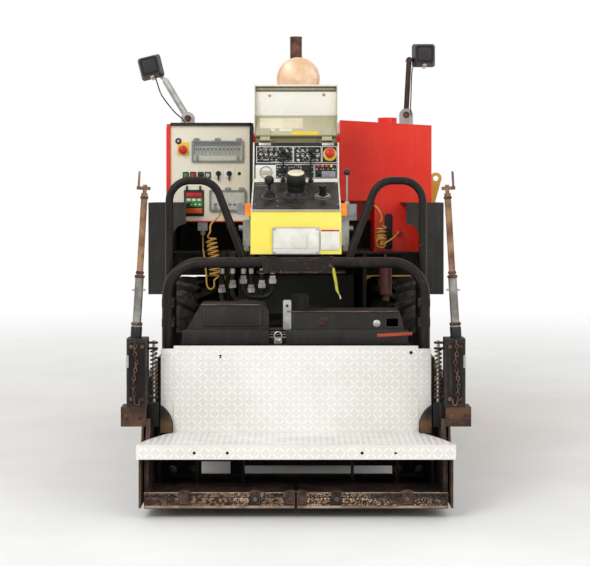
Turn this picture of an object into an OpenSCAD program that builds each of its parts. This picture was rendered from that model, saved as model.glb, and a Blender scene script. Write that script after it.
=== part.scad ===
// Small wheeled asphalt paver, seen and measured from behind: +Y drives forward, +X is its right side.
// The origin lies on the ground at the middle of the overall length and width. All sizes are millimetres.

/* [Tractor body] */
// Width of the tractor over its cabinets and hood
body_w = 1200; // [1160:10:1220]
// Inside width between the two frame plates
frame_w = 600; // [580:10:610]
// Thickness of a frame plate
frame_t = 15; // [12:1:18]
// Height of the frame plates' lower edge
frame_z = 250; // [245:5:262]
// Height of the conveyor tunnel's roof
tunnel_z = 680; // [660:10:720]
// Thickness of floors, roofs and decks
plate_t = 8; // [6:1:10]
// Height of the fender tops, where the hood stands
fender_z = 888; // [880:4:920]
// Height of the rear deck's top
deck_z = 1000; // [980:5:1020]
// Rear end of the frame
frame_rear_y = -1060; // [-1070:5:-1050]
// Front end of the frame plates
frame_front_y = 1800; // [1780:5:1810]
// Rear face of the cabinets
cabinet_rear_y = -950; // [-960:5:-930]
// Depth of each rear cabinet
cabinet_d = 350; // [320:5:355]
// Height of the cabinets' top edge
cabinet_top_z = 1578; // [1560:2:1600]
// Underside of the electrical cabinet
cabinet_base_z = 1133; // [1100:1:1150]
// Half of the gap between the two rear cabinets
cabinet_gap = 200; // [196:1:215]
// Sheet thickness of cabinets, hood and fairings
sheet_t = 5; // [3:1:6]

/* [Hood] */
// Front face of the hood
hood_front_y = 380; // [360:5:384]
// Height of the hood's top
hood_top_z = 1548; // [1500:4:1560]
// Radius of the hood's upper edges
hood_r = 60; // [30:5:90]
// Number of cooling slots in a side
louvre_count = 8; // [4:1:9]
// Muffler radius
muffler_r = 102; // [90:2:110]
// Muffler length without its domed ends
muffler_l = 460; // [400:10:520]
// Height of the muffler's axis
muffler_z = 1822; // [1780:2:1840]
// Height of the tail pipe's mouth
exhaust_z = 2050; // [1990:5:2070]

/* [Drive wheels] */
// Radius of a drive tyre over its lugs
drive_r = 430; // [420:5:435]
// Width of a drive tyre
drive_w = 250; // [230:5:255]
// Position of the drive axle along the machine
drive_y = -500; // [-515:5:-490]
// Height of the tyre lugs
lug_h = 26; // [16:2:32]
// Number of lugs round one shoulder
lug_count = 20; // [14:1:24]
// Rim radius, under the tyre's bead
rim_r = 255; // [235:5:270]

/* [Steered wheels] */
// Radius of a solid front tyre
steer_r = 200; // [190:2:204]
// Width of a front tyre
steer_w = 150; // [130:5:155]
// Position of the front axle along the machine
steer_y = 1080; // [1060:5:1100]
// Distance from the centre line to a kingpin
kingpin_x = 382; // [376:1:388]
// Distance from the centre line to a front tyre's middle
steer_x = 477; // [470:1:482]

/* [Hopper] */
// Height of the wing hinges
hinge_z = 464; // [460:1:476]
// Rear end of the wings
wing_rear_y = 412; // [405:1:425]
// Length of the wings along the machine
wing_l = 1330; // [1280:10:1340]
// Width of a wing's floor plate
wing_floor_w = 430; // [410:5:440]
// Height of a wing's side plate
wing_side_h = 620; // [580:10:640]
// Thickness of the hopper plates
wing_t = 8; // [6:1:10]
// Angle of the left wing above its lowered position
left_wing_up = 50; // [40:1:55]
// Angle of the right wing above its lowered position
right_wing_up = 17; // [5:1:30]

/* [Conveyor and auger] */
// Width of the slats
slat_w = 560; // [520:10:570]
// Distance between the conveyor's upper and lower runs
run_gap = 80; // [76:2:84]
// Height of the upper run's middle
run_z = 404; // [400:1:408]
// Spacing of the slats
slat_pitch = 160; // [120:10:200]
// Radius of the auger flights
auger_r = 115; // [100:5:120]
// Length of one turn of the auger flight
auger_pitch = 230; // [180:10:280]
// Height of the auger shaft
auger_z = 215; // [200:5:230]
// Distance of the auger shaft behind the frame
auger_gap = 130; // [125:1:135]

/* [Screed] */
// Height at which the raised screed plates hang over the ground
screed_clear = 40; // [20:5:60]
// Half width of the main screed frame over its cheeks
screed_half_w = 560; // [550:2:562]
// Thickness of the heated screed plates
shoe_t = 12; // [10:1:16]
// Outer radius of the telescoping guide housing
guide_r = 72; // [68:1:80]
// Radius of the sliding extension tube
slide_r = 54; // [48:1:58]
// Running clearance of the sliding tube in its housing
slide_clear = 1; // [0.6:0.1:2]
// Height of the extension tubes
slide_z = 270; // [262:1:272]
// Thickness of a tow arm
arm_t = 30; // [24:1:34]
// Height of the tow pins
tow_z = 430; // [420:2:440]
// Position of the tow pins along the machine
tow_y = 150; // [140:2:160]
// Radius of a tow pin
tow_pin_r = 24; // [20:1:28]

/* [Footboard] */
// Width of the tread plate
tread_w = 1226; // [1200:2:1240]
// Depth of the tread plate
tread_d = 300; // [290:2:310]
// Height of the tread plate's top
tread_z = 300; // [292:2:310]
// Height of the rear lip
lip_h = 57; // [45:1:65]
// Width of the kick plate
kick_w = 1090; // [1060:2:1096]
// Height of the kick plate's top edge
kick_z = 648; // [630:2:660]
// Thickness of the aluminium chequer plate
chequer_t = 5; // [4:0.5:6]

/* [Rails and console] */
// Outer radius of the guard rail tube
rail_r = 22; // [17:1:24]
// Distance from the centre line to a rail leg
rail_x = 524; // [516:1:530]
// Height of the lower rail
low_rail_z = 981; // [970:1:990]
// Height of the upper hoops
top_rail_z = 1315; // [1290:1:1340]
// Width of the console
console_w = 372; // [360:2:384]
// Height of the console's underside
console_z = 1014; // [1010:1:1024]

/* [Hidden] */
$fn = 48;

// Paint and metal colours
red = [0.86, 0.13, 0.08];
yellow = [0.93, 0.76, 0.18];
black = [0.09, 0.09, 0.09];
grey = [0.24, 0.23, 0.22];
cream = [0.90, 0.87, 0.74];
steel = [0.55, 0.54, 0.52];
rust = [0.42, 0.26, 0.17];
alloy = [0.86, 0.86, 0.84];
rubber = [0.06, 0.06, 0.06];

// Places that follow from the sizes above
half_body = body_w / 2;
frame_x = frame_w / 2;
frame_outer_x = frame_x + frame_t;
hood_rear_y = cabinet_rear_y + cabinet_d + 10;
wing_front_y = wing_rear_y + wing_l;
hinge_x = frame_x + frame_t / 2;
auger_y = frame_rear_y - auger_gap;
screed_front_y = auger_y - 150;
slide_y = screed_front_y - 250;
kick_y = screed_front_y - 360;
tail_y = kick_y - tread_d;
wall_y = kick_y + 32;
rail_y = kick_y + 60;
hoop_y = rail_y + 2 * rail_r + 2;
drive_x = frame_outer_x + 25 + drive_w / 2;
arm_x = drive_x + drive_w / 2 + 22;
shoe_z = screed_clear;

// A block between two corners
module block(low, high) {
    translate(low) cube(high - low);
}

// Round bars along each axis: from a to b, at the two other coordinates
module bar_x(a, b, y, z, r) {
    translate([a, y, z]) rotate([0, 90, 0]) cylinder(h = b - a, r = r);
}
module bar_y(a, b, x, z, r) {
    translate([x, a, z]) rotate([-90, 0, 0]) cylinder(h = b - a, r = r);
}
module bar_z(a, b, x, y, r) {
    translate([x, y, a]) cylinder(h = b - a, r = r);
}

// The children and their mirror image across the centre plane
module both_sides() {
    children();
    mirror([1, 0, 0]) children();
}

// One side only: side is 1 for the right, -1 for the left
module on_side(side) {
    if (side > 0) children();
    else mirror([1, 0, 0]) children();
}

// A side profile of points [y, z] as a plate from x = a to x = b
module side_plate(a, b) {
    translate([a, 0, 0]) rotate([90, 0, 90]) linear_extrude(height = b - a) children();
}

// A front profile of points [x, z] as a plate from y = a to y = b
module cross_plate(a, b) {
    translate([0, b, 0]) rotate([90, 0, 0]) linear_extrude(height = b - a) children();
}

// A rectangle with round corners, from low to high
module round_rect(low, high, r) {
    for (x = [low.x + r, high.x - r], y = [low.y + r, high.y - r]) translate([x, y]) circle(r);
    translate([low.x + r, low.y]) square([high.x - low.x - 2 * r, high.y - low.y]);
    translate([low.x, low.y + r]) square([high.x - low.x, high.y - low.y - 2 * r]);
}

// A round tube bent in its own plane through points [u, v], with one bend radius
function unit(v) = v / norm(v);
function turn_of(p, i) =
    let (a = unit(p[i] - p[i - 1]), b = unit(p[i + 1] - p[i]))
    atan2(a.x * b.y - a.y * b.x, a.x * b.x + a.y * b.y);
function trim_of(p, i, bend) = i == 0 || i == len(p) - 1 ? 0 : bend * tan(abs(turn_of(p, i)) / 2);
module bent_tube(p, bend, r) {
    for (i = [0:len(p) - 2]) {
        d = unit(p[i + 1] - p[i]);
        from = trim_of(p, i, bend);
        long = norm(p[i + 1] - p[i]) - from - trim_of(p, i + 1, bend);
        translate(p[i] + d * from) rotate([0, 90, atan2(d.y, d.x)]) cylinder(h = long, r = r);
    }
    for (i = [1:len(p) - 2]) {
        d = unit(p[i] - p[i - 1]);
        turn = turn_of(p, i);
        s = sign(turn);
        centre = p[i] - d * trim_of(p, i, bend) + s * bend * [-d.y, d.x];
        start = atan2(-s * d.x, s * d.y);
        translate(centre) rotate([0, 0, min(start, start + turn)])
            rotate_extrude(angle = abs(turn)) translate([bend, 0]) circle(r);
    }
}

// The same tube standing across the machine, at y
module standing_tube(y, p, bend, r) {
    translate([0, y, 0]) rotate([90, 0, 0]) bent_tube(p, bend, r);
}

// Frame of the tractor
ear_w = 22;
ear_ys = [wing_rear_y + 20, wing_rear_y + wing_l / 2, wing_front_y - 20];
hopper_edge_z = hinge_z - 34;
beam_z = tow_z - 50;
post_out_x = arm_x - 17;
module frame_profile() {
    difference() {
        polygon([
            [frame_rear_y, frame_z + 80], [frame_rear_y, tunnel_z], [hood_front_y, tunnel_z],
            [hood_front_y, hopper_edge_z], [frame_front_y, hopper_edge_z], [frame_front_y, frame_z + 70],
            [frame_front_y - 120, frame_z], [frame_rear_y + 130, frame_z]
        ]);
        for (y = [tow_y + 230, tow_y + 420]) translate([y, 340]) circle(40);
    }
}
module hinge_ears() {
    for (y = ear_ys) {
        bar_y(y - ear_w / 2, y + ear_w / 2, hinge_x, hinge_z, 20);
        block([frame_x, y - ear_w / 2, hopper_edge_z - 1], [frame_outer_x, y + ear_w / 2, hinge_z]);
    }
    bar_y(ear_ys[0], ear_ys[2], hinge_x, hinge_z, 12);
}
module rear_corner() {
    // the bracket behind the wheel and its post
    block([frame_outer_x - 1, frame_rear_y, 560], [post_out_x, frame_rear_y + 70, 640]);
    block([post_out_x - 57, frame_rear_y, 560], [post_out_x, frame_rear_y + 50, deck_z]);
}
module chassis() {
    color(black) {
        both_sides() {
            side_plate(frame_x, frame_outer_x) frame_profile();
            hinge_ears();
            rear_corner();
            // inner fender wall and fender top
            side_plate(frame_x, frame_outer_x) polygon([
                [frame_rear_y, tunnel_z - 1], [frame_rear_y, deck_z - 1], [hood_rear_y, deck_z - 1],
                [hood_rear_y, fender_z - 1], [hood_front_y, fender_z - 1], [hood_front_y, tunnel_z - 1]
            ]);
            block([frame_x, hood_rear_y, fender_z - plate_t], [half_body - 2, hood_front_y, fender_z]);
            // tow bracket and its pin
            block([frame_outer_x - 1, tow_y - 60, beam_z], [arm_x - 5, tow_y + 60, beam_z + 100]);
            bar_x(arm_x - 12, arm_x + arm_t + 14, tow_y, tow_z, tow_pin_r);
            // feet of the wing cylinders
            for (y = [ram_y - ram_eye_w / 2 - 11, ram_y + ram_eye_w / 2 + 1])
                block([frame_outer_x - 1, y, ram_foot.y - 20], [ram_foot.x + 20, y + 10, ram_foot.y + 20]);
            bar_y(ram_y - ram_eye_w / 2 - 11, ram_y + ram_eye_w / 2 + 11, ram_foot.x, ram_foot.y, ram_pin_r);
        }
        block([-half_body + sheet_t, frame_rear_y, deck_z - plate_t], [half_body - sheet_t, hood_rear_y - 0.3, deck_z]);
        block([-frame_x - 1, frame_rear_y, tunnel_z - plate_t], [frame_x + 1, hood_front_y, tunnel_z]);
        block([-frame_x - 1, frame_rear_y + 120, pan_z - plate_t], [frame_x + 1, wing_front_y - 160, pan_z]);
        block([-frame_x - 1, tow_y - 60, frame_z + 6], [frame_x + 1, tow_y + 60, frame_z + 56]);
        block([-frame_outer_x, steer_y - 45, frame_z - 8], [frame_outer_x, steer_y + 45, frame_z + 46]);
        block([-frame_x - 1, frame_front_y - 40, frame_z + 70], [frame_x + 1, frame_front_y, hopper_edge_z]);
        for (x = [-cabinet_out_x + 10, -cabinet_gap - 40])
            block([x, cabinet_rear_y + 20, deck_z - 1], [x + 30, cabinet_rear_y + cabinet_d - 30, cabinet_base_z]);
        // bulkhead below the cabinets, in front of the hood's rear wall
        block([-half_body + sheet_t, hood_rear_y - 9.7, fender_z - 16],
              [half_body - sheet_t, hood_rear_y - 0.3, cabinet_base_z]);
        both_sides() bar_x(frame_outer_x - 1, drive_x + 9, drive_y, drive_r, hub_r);
        both_sides() bar_x(drive_x - 1, drive_x + 13.5, drive_y, drive_r, hub_r - 10);
        auger_case();
    }
}
// The auger's chain case hangs from the tunnel's end
case_w = 24;
module auger_case() {
    side_plate(-case_w, case_w) {
        polygon([
            [frame_rear_y + 1, tunnel_z - 60], [frame_rear_y + 1, tunnel_z - 4],
            [auger_y - 40, auger_z + 120], [auger_y - 55, auger_z], [auger_y + 55, auger_z]
        ]);
        translate([auger_y, auger_z]) circle(60);
    }
}

module engine_block() {
    color(steel) block([-280, -520, tunnel_z], [280, 180, tunnel_z + 500]);
}

// Hood over the engine, with slots in its sides and front
module hood_section(grow) {
    difference() {
        round_rect([-half_body + 2 + grow, fender_z - hood_r], [half_body - 2 - grow, hood_top_z - grow], hood_r);
        translate([-half_body, fender_z - 2 * hood_r]) square([body_w, 2 * hood_r]);
    }
}
louvre_l = 56;
louvre_pitch = (hood_front_y - hood_rear_y - 260) / louvre_count;
module hood() {
    color(red) difference() {
        cross_plate(hood_rear_y, hood_front_y) hood_section(0);
        cross_plate(hood_rear_y + sheet_t, hood_front_y - sheet_t) difference() {
            hood_section(sheet_t);
            translate([-half_body, fender_z - 1]) square([body_w, 1]);
        }
        block([-half_body + 2 + sheet_t, hood_rear_y + sheet_t, fender_z - 1],
              [half_body - 2 - sheet_t, hood_front_y - sheet_t, fender_z + 2]);
        for (i = [0:louvre_count - 1], z = [1060, 1180, 1300])
            block([-half_body - 1, hood_rear_y + 150 + i * louvre_pitch, z],
                  [half_body + 1, hood_rear_y + 150 + i * louvre_pitch + louvre_l, z + 70]);
    }
}

// Electrical cabinet, open to the rear, and its front panel
flange_w = 18;
cabinet_out_x = half_body - 12;
module electrical_cabinet() {
    color(grey) {
        block([-447, cabinet_rear_y + 6, cabinet_base_z - 40], [-403, cabinet_rear_y + 40, cabinet_base_z + 1]);
        bar_z(cabinet_base_z - 59, cabinet_base_z - 39, -425, cabinet_rear_y + 20, 11);
    }
    color(red) difference() {
        block([-cabinet_out_x, cabinet_rear_y, cabinet_base_z],
              [-cabinet_gap, cabinet_rear_y + cabinet_d, cabinet_top_z]);
        block([-cabinet_out_x + sheet_t, cabinet_rear_y - 1, cabinet_base_z + sheet_t],
              [-cabinet_gap - sheet_t, cabinet_rear_y + cabinet_d - sheet_t, cabinet_top_z - sheet_t]);
    }
    color(red) block([-cabinet_out_x, cabinet_rear_y, cabinet_base_z],
                     [-cabinet_out_x + flange_w, cabinet_rear_y + sheet_t, cabinet_top_z]);
}
panel_t = 4;
module cabinet_panel() {
    color(cream) difference() {
        block([-cabinet_out_x + sheet_t, cabinet_rear_y + 6, cabinet_base_z + sheet_t],
              [-cabinet_gap - sheet_t, cabinet_rear_y + 6 + panel_t, cabinet_top_z - sheet_t]);
        block([-465, cabinet_rear_y, cabinet_top_z - 138], [-255, cabinet_rear_y + 20, cabinet_top_z - 78]);
    }
}

tank_step_x = 357;
tank_step_z = 1230;
tank_out_x = half_body + 16;
module hydraulic_tank() {
    color(steel) bar_y(cabinet_rear_y - 19, cabinet_rear_y + 1, 464, 1088, 12);
    color(red) difference() {
        union() {
            cross_plate(cabinet_rear_y, cabinet_rear_y + cabinet_d) polygon([
                [cabinet_gap, tank_step_z], [tank_step_x, tank_step_z], [tank_step_x, deck_z], [tank_out_x, deck_z],
                [tank_out_x, cabinet_top_z - 6], [cabinet_gap, cabinet_top_z + 18]
            ]);
            bar_z(cabinet_top_z - 20, cabinet_top_z + 40, 430, cabinet_rear_y + 240, 45);
        }
        cross_plate(cabinet_rear_y + sheet_t, cabinet_rear_y + cabinet_d - sheet_t) polygon([
            [cabinet_gap + sheet_t, tank_step_z + sheet_t], [tank_step_x + sheet_t, tank_step_z + sheet_t],
            [tank_step_x + sheet_t, deck_z - 1], [tank_out_x - sheet_t, deck_z - 1],
            [tank_out_x - sheet_t, cabinet_top_z - 6 - sheet_t],
            [cabinet_gap + sheet_t, cabinet_top_z + 18 - sheet_t]
        ]);
    }
}

// Muffler along the hood, on two saddles, with its tail pipe
muffler_x = 11;
muffler_y = -240;
pipe_r = 30;
module muffler() {
    color([0.72, 0.56, 0.45]) {
        bar_y(muffler_y - muffler_l / 2, muffler_y + muffler_l / 2, muffler_x, muffler_z, muffler_r);
        for (s = [-1, 1])
            translate([muffler_x, muffler_y + s * muffler_l / 2, muffler_z]) rotate([-90 * s, 0, 0])
                rotate_extrude() polygon([
                    [0, 0], [muffler_r, 0], [muffler_r, 8], [muffler_r - 12, 22], [muffler_r - 40, 34], [0, 42]
                ]);
        for (y = [muffler_y - 160, muffler_y + 160])
            block([-70, y - 20, hood_top_z], [70, y + 20, muffler_z - 60]);
        difference() {
            bar_z(muffler_z, exhaust_z, 0, muffler_y, pipe_r);
            bar_z(muffler_z + muffler_r + 20, exhaust_z + 1, 0, muffler_y, pipe_r - 3);
        }
    }
}

// Fixed walls of the hopper: the rear wall over the tunnel's mouth, and the front apron
pan_z = 384;
module hopper_base() {
    color(yellow) {
        cross_plate(hood_front_y, hood_front_y + wing_t) polygon([
            [-frame_outer_x, 600], [frame_outer_x, 600], [frame_outer_x, fender_z], [half_body - 30, fender_z],
            [half_body - 30, 1240], [-half_body + 30, 1240], [-half_body + 30, fender_z], [-frame_outer_x, fender_z]
        ]);
    }
}

// Slat conveyor: two chains round the floor pan, with slats across them
conveyor_rear_y = frame_rear_y + 60;
conveyor_front_y = wing_front_y - 90;
chain_t = 16;
chain_w = 24;
chain_x = slat_w / 2 - 60;
link_pitch = 60;
module racetrack(r) {
    for (y = [conveyor_rear_y, conveyor_front_y]) translate([y, run_z - run_gap / 2]) circle(r);
    translate([conveyor_rear_y, run_z - run_gap / 2 - r]) square([conveyor_front_y - conveyor_rear_y, 2 * r]);
}
function race_point(t, r) =
    let (l = conveyor_front_y - conveyor_rear_y, h = PI * r, u = t * (2 * l + 2 * h))
    u < l ? [conveyor_rear_y + u, r]
    : u < l + h ? [conveyor_front_y + r * sin((u - l) / r * 180 / PI), r * cos((u - l) / r * 180 / PI)]
    : u < 2 * l + h ? [conveyor_front_y - (u - l - h), -r]
    : [conveyor_rear_y - r * sin((u - 2 * l - h) / r * 180 / PI), -r * cos((u - 2 * l - h) / r * 180 / PI)];
module conveyor() {
    r = run_gap / 2;
    mid_z = run_z - r;
    slats = floor((conveyor_front_y - conveyor_rear_y) / slat_pitch);
    links = floor((2 * (conveyor_front_y - conveyor_rear_y) + 2 * PI * r) / link_pitch);
    color(steel) {
        both_sides() side_plate(chain_x, chain_x + chain_w) {
            difference() {
                racetrack(r + chain_t / 2 - 2);
                racetrack(r - chain_t / 2 + 2);
            }
            for (i = [0:links - 1]) translate([0, mid_z] + race_point(i / links, r)) circle(chain_t / 2 + 1, $fn = 24);
        }
        for (i = [0:slats], z = [run_z, run_z - run_gap])
            translate([-slat_w / 2, conveyor_rear_y + i * slat_pitch - 20, z - 7]) cube([slat_w, 40, 14]);
        for (y = [conveyor_rear_y, conveyor_front_y]) {
            bar_x(-frame_x, frame_x, y, mid_z, 20);
            both_sides() side_plate(chain_x + 2, chain_x + chain_w - 2) translate([y, mid_z]) {
                circle(r - chain_t / 2 + 3);
            }
        }
    }
}

// Fairings behind the rear posts: a rear face with an arched inner edge, and a wrapped side
panel_rear_y = frame_rear_y - 240;
panel_low_z = 828;
panel_top_z = 1223;
panel_in_x = arm_x - 138;
panel_out_x = arm_x + 24;
arch_r = 56;
arch_z = 1075;
module side_panels() {
    color(grey) both_sides() {
        cross_plate(panel_rear_y, panel_rear_y + sheet_t) difference() {
            translate([panel_in_x, panel_low_z]) square([panel_out_x - panel_in_x, panel_top_z - panel_low_z]);
            translate([panel_in_x, arch_z]) circle(arch_r);
            translate([panel_in_x - 1, panel_low_z - 1]) square([arch_r + 1, arch_z - panel_low_z + 1]);
        }
        block([panel_out_x - sheet_t, panel_rear_y, panel_low_z], [panel_out_x, cabinet_rear_y, panel_top_z]);
        block([panel_in_x, panel_rear_y, panel_top_z - sheet_t], [panel_out_x, cabinet_rear_y, panel_top_z]);
        // bracket to the post behind the wheel
        block([post_out_x, frame_rear_y, 880], [panel_out_x - 1, frame_rear_y + 50, 920]);
    }
}

// Work lamps on swinging arms at the outer top corners
module lamp_arm(foot, head, lamp, r) {
    d = head - foot;
    back = lamp_y + lamp_d / 2 + 0.3;
    bar_y(lamp_y - 12, back + 8, head.x, head.z, 14);
    translate([head.x, back, head.z]) rotate([0, atan2(lamp.x - head.x, lamp.z - head.z), 0])
        translate([-9, 0, 0]) cube([18, 5, norm(lamp - head)]);
    translate(foot) rotate([0, atan2(d.x, d.z), 0]) cylinder(h = norm(d), r = r);
    bar_y(foot.y - lug_half_t, foot.y + lug_half_t, foot.x, foot.z, lug_r);
    block([foot.x - lug_r, foot.y - lug_half_t, hood_top_z], [foot.x + lug_r, foot.y + lug_half_t, foot.z]);
}
lamp_y = -300;
lug_r = 33;
lug_half_t = 18;
left_foot = [-539, lamp_y, 1636];
left_head = [-652, lamp_y, 1826];
right_foot = [549, lamp_y, 1654];
right_head = [564, lamp_y, 1929];
left_lamp = [-727, lamp_y, 1894];
right_lamp = [639, lamp_y, 1954];
module lamp_arms() {
    color(steel) {
        lamp_arm(left_foot, left_head, left_lamp, 16);
        lamp_arm(right_foot, right_head, right_lamp, 13);
    }
}
lamp_w = 114;
lamp_d = 74;
module lamp_body() {
    hull() {
        for (x = [-1, 1], z = [-1, 1])
            translate([x * (lamp_w / 2 - 12), lamp_d / 2 - 10, z * (lamp_w / 2 - 12)]) rotate([-90, 0, 0])
                cylinder(h = 10, r = 12, $fn = 24);
        for (x = [-1, 1], z = [-1, 1])
            translate([x * (lamp_w / 2 - 26), -lamp_d / 2, z * (lamp_w / 2 - 26)]) rotate([-90, 0, 0])
                cylinder(h = 10, r = 14, $fn = 24);
    }
}
module work_lamps() {
    color(black) {
        translate(left_lamp) rotate([0, -14, 0]) lamp_body();
        translate(right_lamp) lamp_body();
    }
}

// Front axle beam with forked ends for the kingpins
kingpin_r = 18;
axle_top_z = frame_z - 8;
module front_axle() {
    color(black) difference() {
        union() {
            block([-kingpin_x, steer_y - 40, axle_top_z - 84], [kingpin_x, steer_y + 40, axle_top_z]);
            both_sides() bar_z(axle_top_z - 84, axle_top_z, kingpin_x, steer_y, 40);
        }
        both_sides() bar_z(axle_top_z - 60, axle_top_z - 24, kingpin_x, steer_y, 44);
        both_sides() block([kingpin_x - 44, steer_y - 50, axle_top_z - 60],
                           [kingpin_x + 50, steer_y + 50, axle_top_z - 24]);
        both_sides() bar_z(axle_top_z - 85, axle_top_z + 1, kingpin_x, steer_y, kingpin_r + 0.5);
    }
}
module knuckle(side) {
    z = axle_top_z - 42;
    color(black) on_side(side) {
        bar_z(axle_top_z - 84, axle_top_z, kingpin_x, steer_y, kingpin_r);
        bar_z(z - 17, z + 17, kingpin_x, steer_y, 32);
        bar_x(kingpin_x, steer_x + steer_w / 2 - 20, steer_y, steer_r, 16);
        // track rod arm
        block([kingpin_x - 24, steer_y - 100, z - 8], [kingpin_x - 4, steer_y - 20, z + 8]);
    }
}
module steer_tyre(side) {
    color(rubber) on_side(side) translate([steer_x, steer_y, steer_r]) rotate([0, 90, 0]) rotate_extrude()
        polygon([
            [125, -steer_w / 2 + 6], [steer_r - 24, -steer_w / 2], [steer_r - 6, -steer_w / 2 + 12],
            [steer_r, -steer_w / 2 + 34], [steer_r, steer_w / 2 - 34], [steer_r - 6, steer_w / 2 - 12],
            [steer_r - 24, steer_w / 2], [125, steer_w / 2 - 6]
        ]);
}
module steer_hub(side) {
    color(yellow) on_side(side) translate([steer_x, steer_y, steer_r]) rotate([0, 90, 0]) rotate_extrude()
        polygon([
            [16.5, -40], [50, -40], [50, -10], [100, -10], [100, -steer_w / 2 + 8], [125, -steer_w / 2 + 8],
            [125, steer_w / 2 - 8], [112, steer_w / 2 - 8], [104, 20], [60, 8], [50, steer_w / 2 - 16],
            [16.5, steer_w / 2 - 16]
        ]);
}

// Drive wheel: a lugged tyre on a dished rim, turning on the final drive's hub
hub_r = 110;
lug_a = 34;
lug_w = 34;
module drive_tyre(side) {
    tread_r = drive_r - lug_h;
    w = drive_w / 2;
    color(rubber) on_side(side) translate([drive_x, drive_y, drive_r]) rotate([0, 90, 0]) {
        rotate_extrude() polygon([
            [rim_r, -w + 26], [rim_r + 18, -w + 10], [rim_r + 70, -w], [tread_r - 44, -w + 6],
            [tread_r - 10, -w + 22], [tread_r, -w + 46], [tread_r, w - 46], [tread_r - 10, w - 22],
            [tread_r - 44, w - 6], [rim_r + 70, w], [rim_r + 18, w - 10], [rim_r, w - 26]
        ]);
        intersection() {
            rotate_extrude() polygon([
                [tread_r - 36, -w + 6], [drive_r - 12, -w + 8], [drive_r, -w + 34], [drive_r, w - 34],
                [drive_r - 12, w - 8], [tread_r - 36, w - 6], [tread_r - 12, w - 30], [tread_r - 12, -w + 30]
            ]);
            for (i = [0:lug_count - 1], s = [-1, 1])
                rotate((i + (s > 0 ? 0.5 : 0)) * 360 / lug_count) translate([tread_r - 44, 0, -s * 6])
                    rotate([s * lug_a, 0, 0]) translate([0, -lug_w / 2, s > 0 ? 0 : -drive_w])
                        cube([lug_h + 60, lug_w, drive_w]);
        }
    }
}
module drive_rim(side) {
    w = drive_w / 2;
    color(yellow) on_side(side) translate([drive_x, drive_y, drive_r]) rotate([0, 90, 0]) difference() {
        rotate_extrude() polygon([
            [hub_r + 1, 10], [hub_r + 60, 18], [rim_r - 30, 44], [rim_r - 16, 44], [rim_r - 16, -w + 24],
            [rim_r, -w + 24], [rim_r, w - 24], [rim_r - 16, w - 24], [rim_r - 16, 56], [rim_r - 36, 56],
            [hub_r + 54, 32], [40, 24], [40, 14], [hub_r + 1, 14]
        ]);
        for (i = [0:7]) rotate(i * 45) translate([hub_r + 38, 0, 0]) cylinder(h = 60, r = 11);
    }
}

// Hydraulic hoses that loop below the rear deck, each between two hex fittings
hose_r = 11;
hose_xs = [-330, -282, -234];
module hex_bar(a, b, x, y, r) {
    translate([x, y, a]) cylinder(h = b - a, r = r, $fn = 6);
}
module hoses() {
    color(black) for (i = [0:len(hose_xs) - 1]) {
        y = frame_rear_y - 18 - 4 * i;
        x = hose_xs[i];
        standing_tube(y, [[x, deck_z - 44], [x, 760 + 20 * i], [x + 130, 760 + 20 * i], [x + 130, deck_z - 44]], 46, hose_r);
        for (u = [x, x + 130]) {
            hex_bar(deck_z - 62, deck_z - 26, u, y, 16);
            block([u - 14, y - 4, deck_z - 30], [u + 14, frame_rear_y - 0.3, deck_z]);
        }
    }
}

// Red-brown pressure vessel on a clamp at the right of the rear opening
vessel_r = 27;
vessel_x = 398;
module accumulator() {
    y = frame_rear_y - vessel_r - 7;
    color(rust) {
        translate([vessel_x, y, 800]) rotate_extrude() polygon([
            [0, -14], [16, -14], [16, 0], [vessel_r - 12, 4], [vessel_r, 16], [vessel_r, 134], [vessel_r - 12, 150], [0, 156]
        ]);
        block([vessel_x - 30, y, 850], [vessel_x + 30, frame_rear_y - 0.3, 880]);
        block([vessel_x - 4, frame_rear_y - 30, 878], [vessel_x + 4, frame_rear_y - 0.3, deck_z - 8.3]);
    }
}

// Curly cords: [x, y, z, r] along the route, where r is the cord's own radius on its leads and the coil's
// outer radius between them
cord_r = 4;
coil_r = 25;
left_cord = [
    [-425, -930, 1074, 4], [-425, -930, 1052, 4], [-422, -960, 1030, 4], [-420, -1000, 1022, 4],
    [-418, -1040, 1020, 4], [-414, -1072, 1010, 4], [-408, -1090, 980, 4], [-402, -1098, 940, 4],
    [-398, -1102, 900, 4], [-396, -1106, 870, 4], [-390, -1110, 850, 4], [-376, -1112, 842, 4],
    [-364, -1114, 850, 4], [-360, -1115, 866, 4], [-360, -1115, 878, 25], [-362, -1115, 960, 25],
    [-370, -1112, 1020, 25], [-380, -1105, 1085, 25], [-381, -1104, 1098, 4], [-382, -1094, 1116, 4],
    [-376, -1070, 1130, 4], [-364, -1040, 1142, 4], [-352, -1010, 1154, 4], [-342, -980, 1168, 4],
    [-334, -962, 1183, 4], [-334, -944.2, 1183, 4]
];
right_cord = [
    [356, -951, 1206, 4], [358, -970, 1205, 4], [366, -984, 1198, 4], [378, -990, 1182, 4], [386, -990, 1162, 4],
    [389, -990, 1146, 4], [389, -990, 1134, 25], [386, -990, 1090, 25], [384, -1000, 1056, 25],
    [384, -1024, 1037, 25], [384, -1050, 1034, 25], [384, -1060, 1034, 4], [388, -1074, 1036, 4],
    [402, -1082, 1044, 4], [422, -1078, 1056, 4], [442, -1060, 1070, 4], [456, -1034, 1080, 4],
    [462, -1006, 1086, 4], [464, -984, 1088, 4], [464, -969.2, 1088, 4]
];
function xyz(p) = [p.x, p.y, p.z];
function direction(p, i) = unit(xyz(p[min(i + 1, len(p) - 1)]) - xyz(p[max(i - 1, 0)]));
function ring(p, i, sides) =
    let (t = direction(p, i), u = unit(cross(t, [0.8, 0.5, 0.3])), v = cross(t, u))
    [for (k = [0:sides - 1]) xyz(p[i]) + p[i][3] * (u * cos(360 * k / sides) + v * sin(360 * k / sides))];
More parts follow.
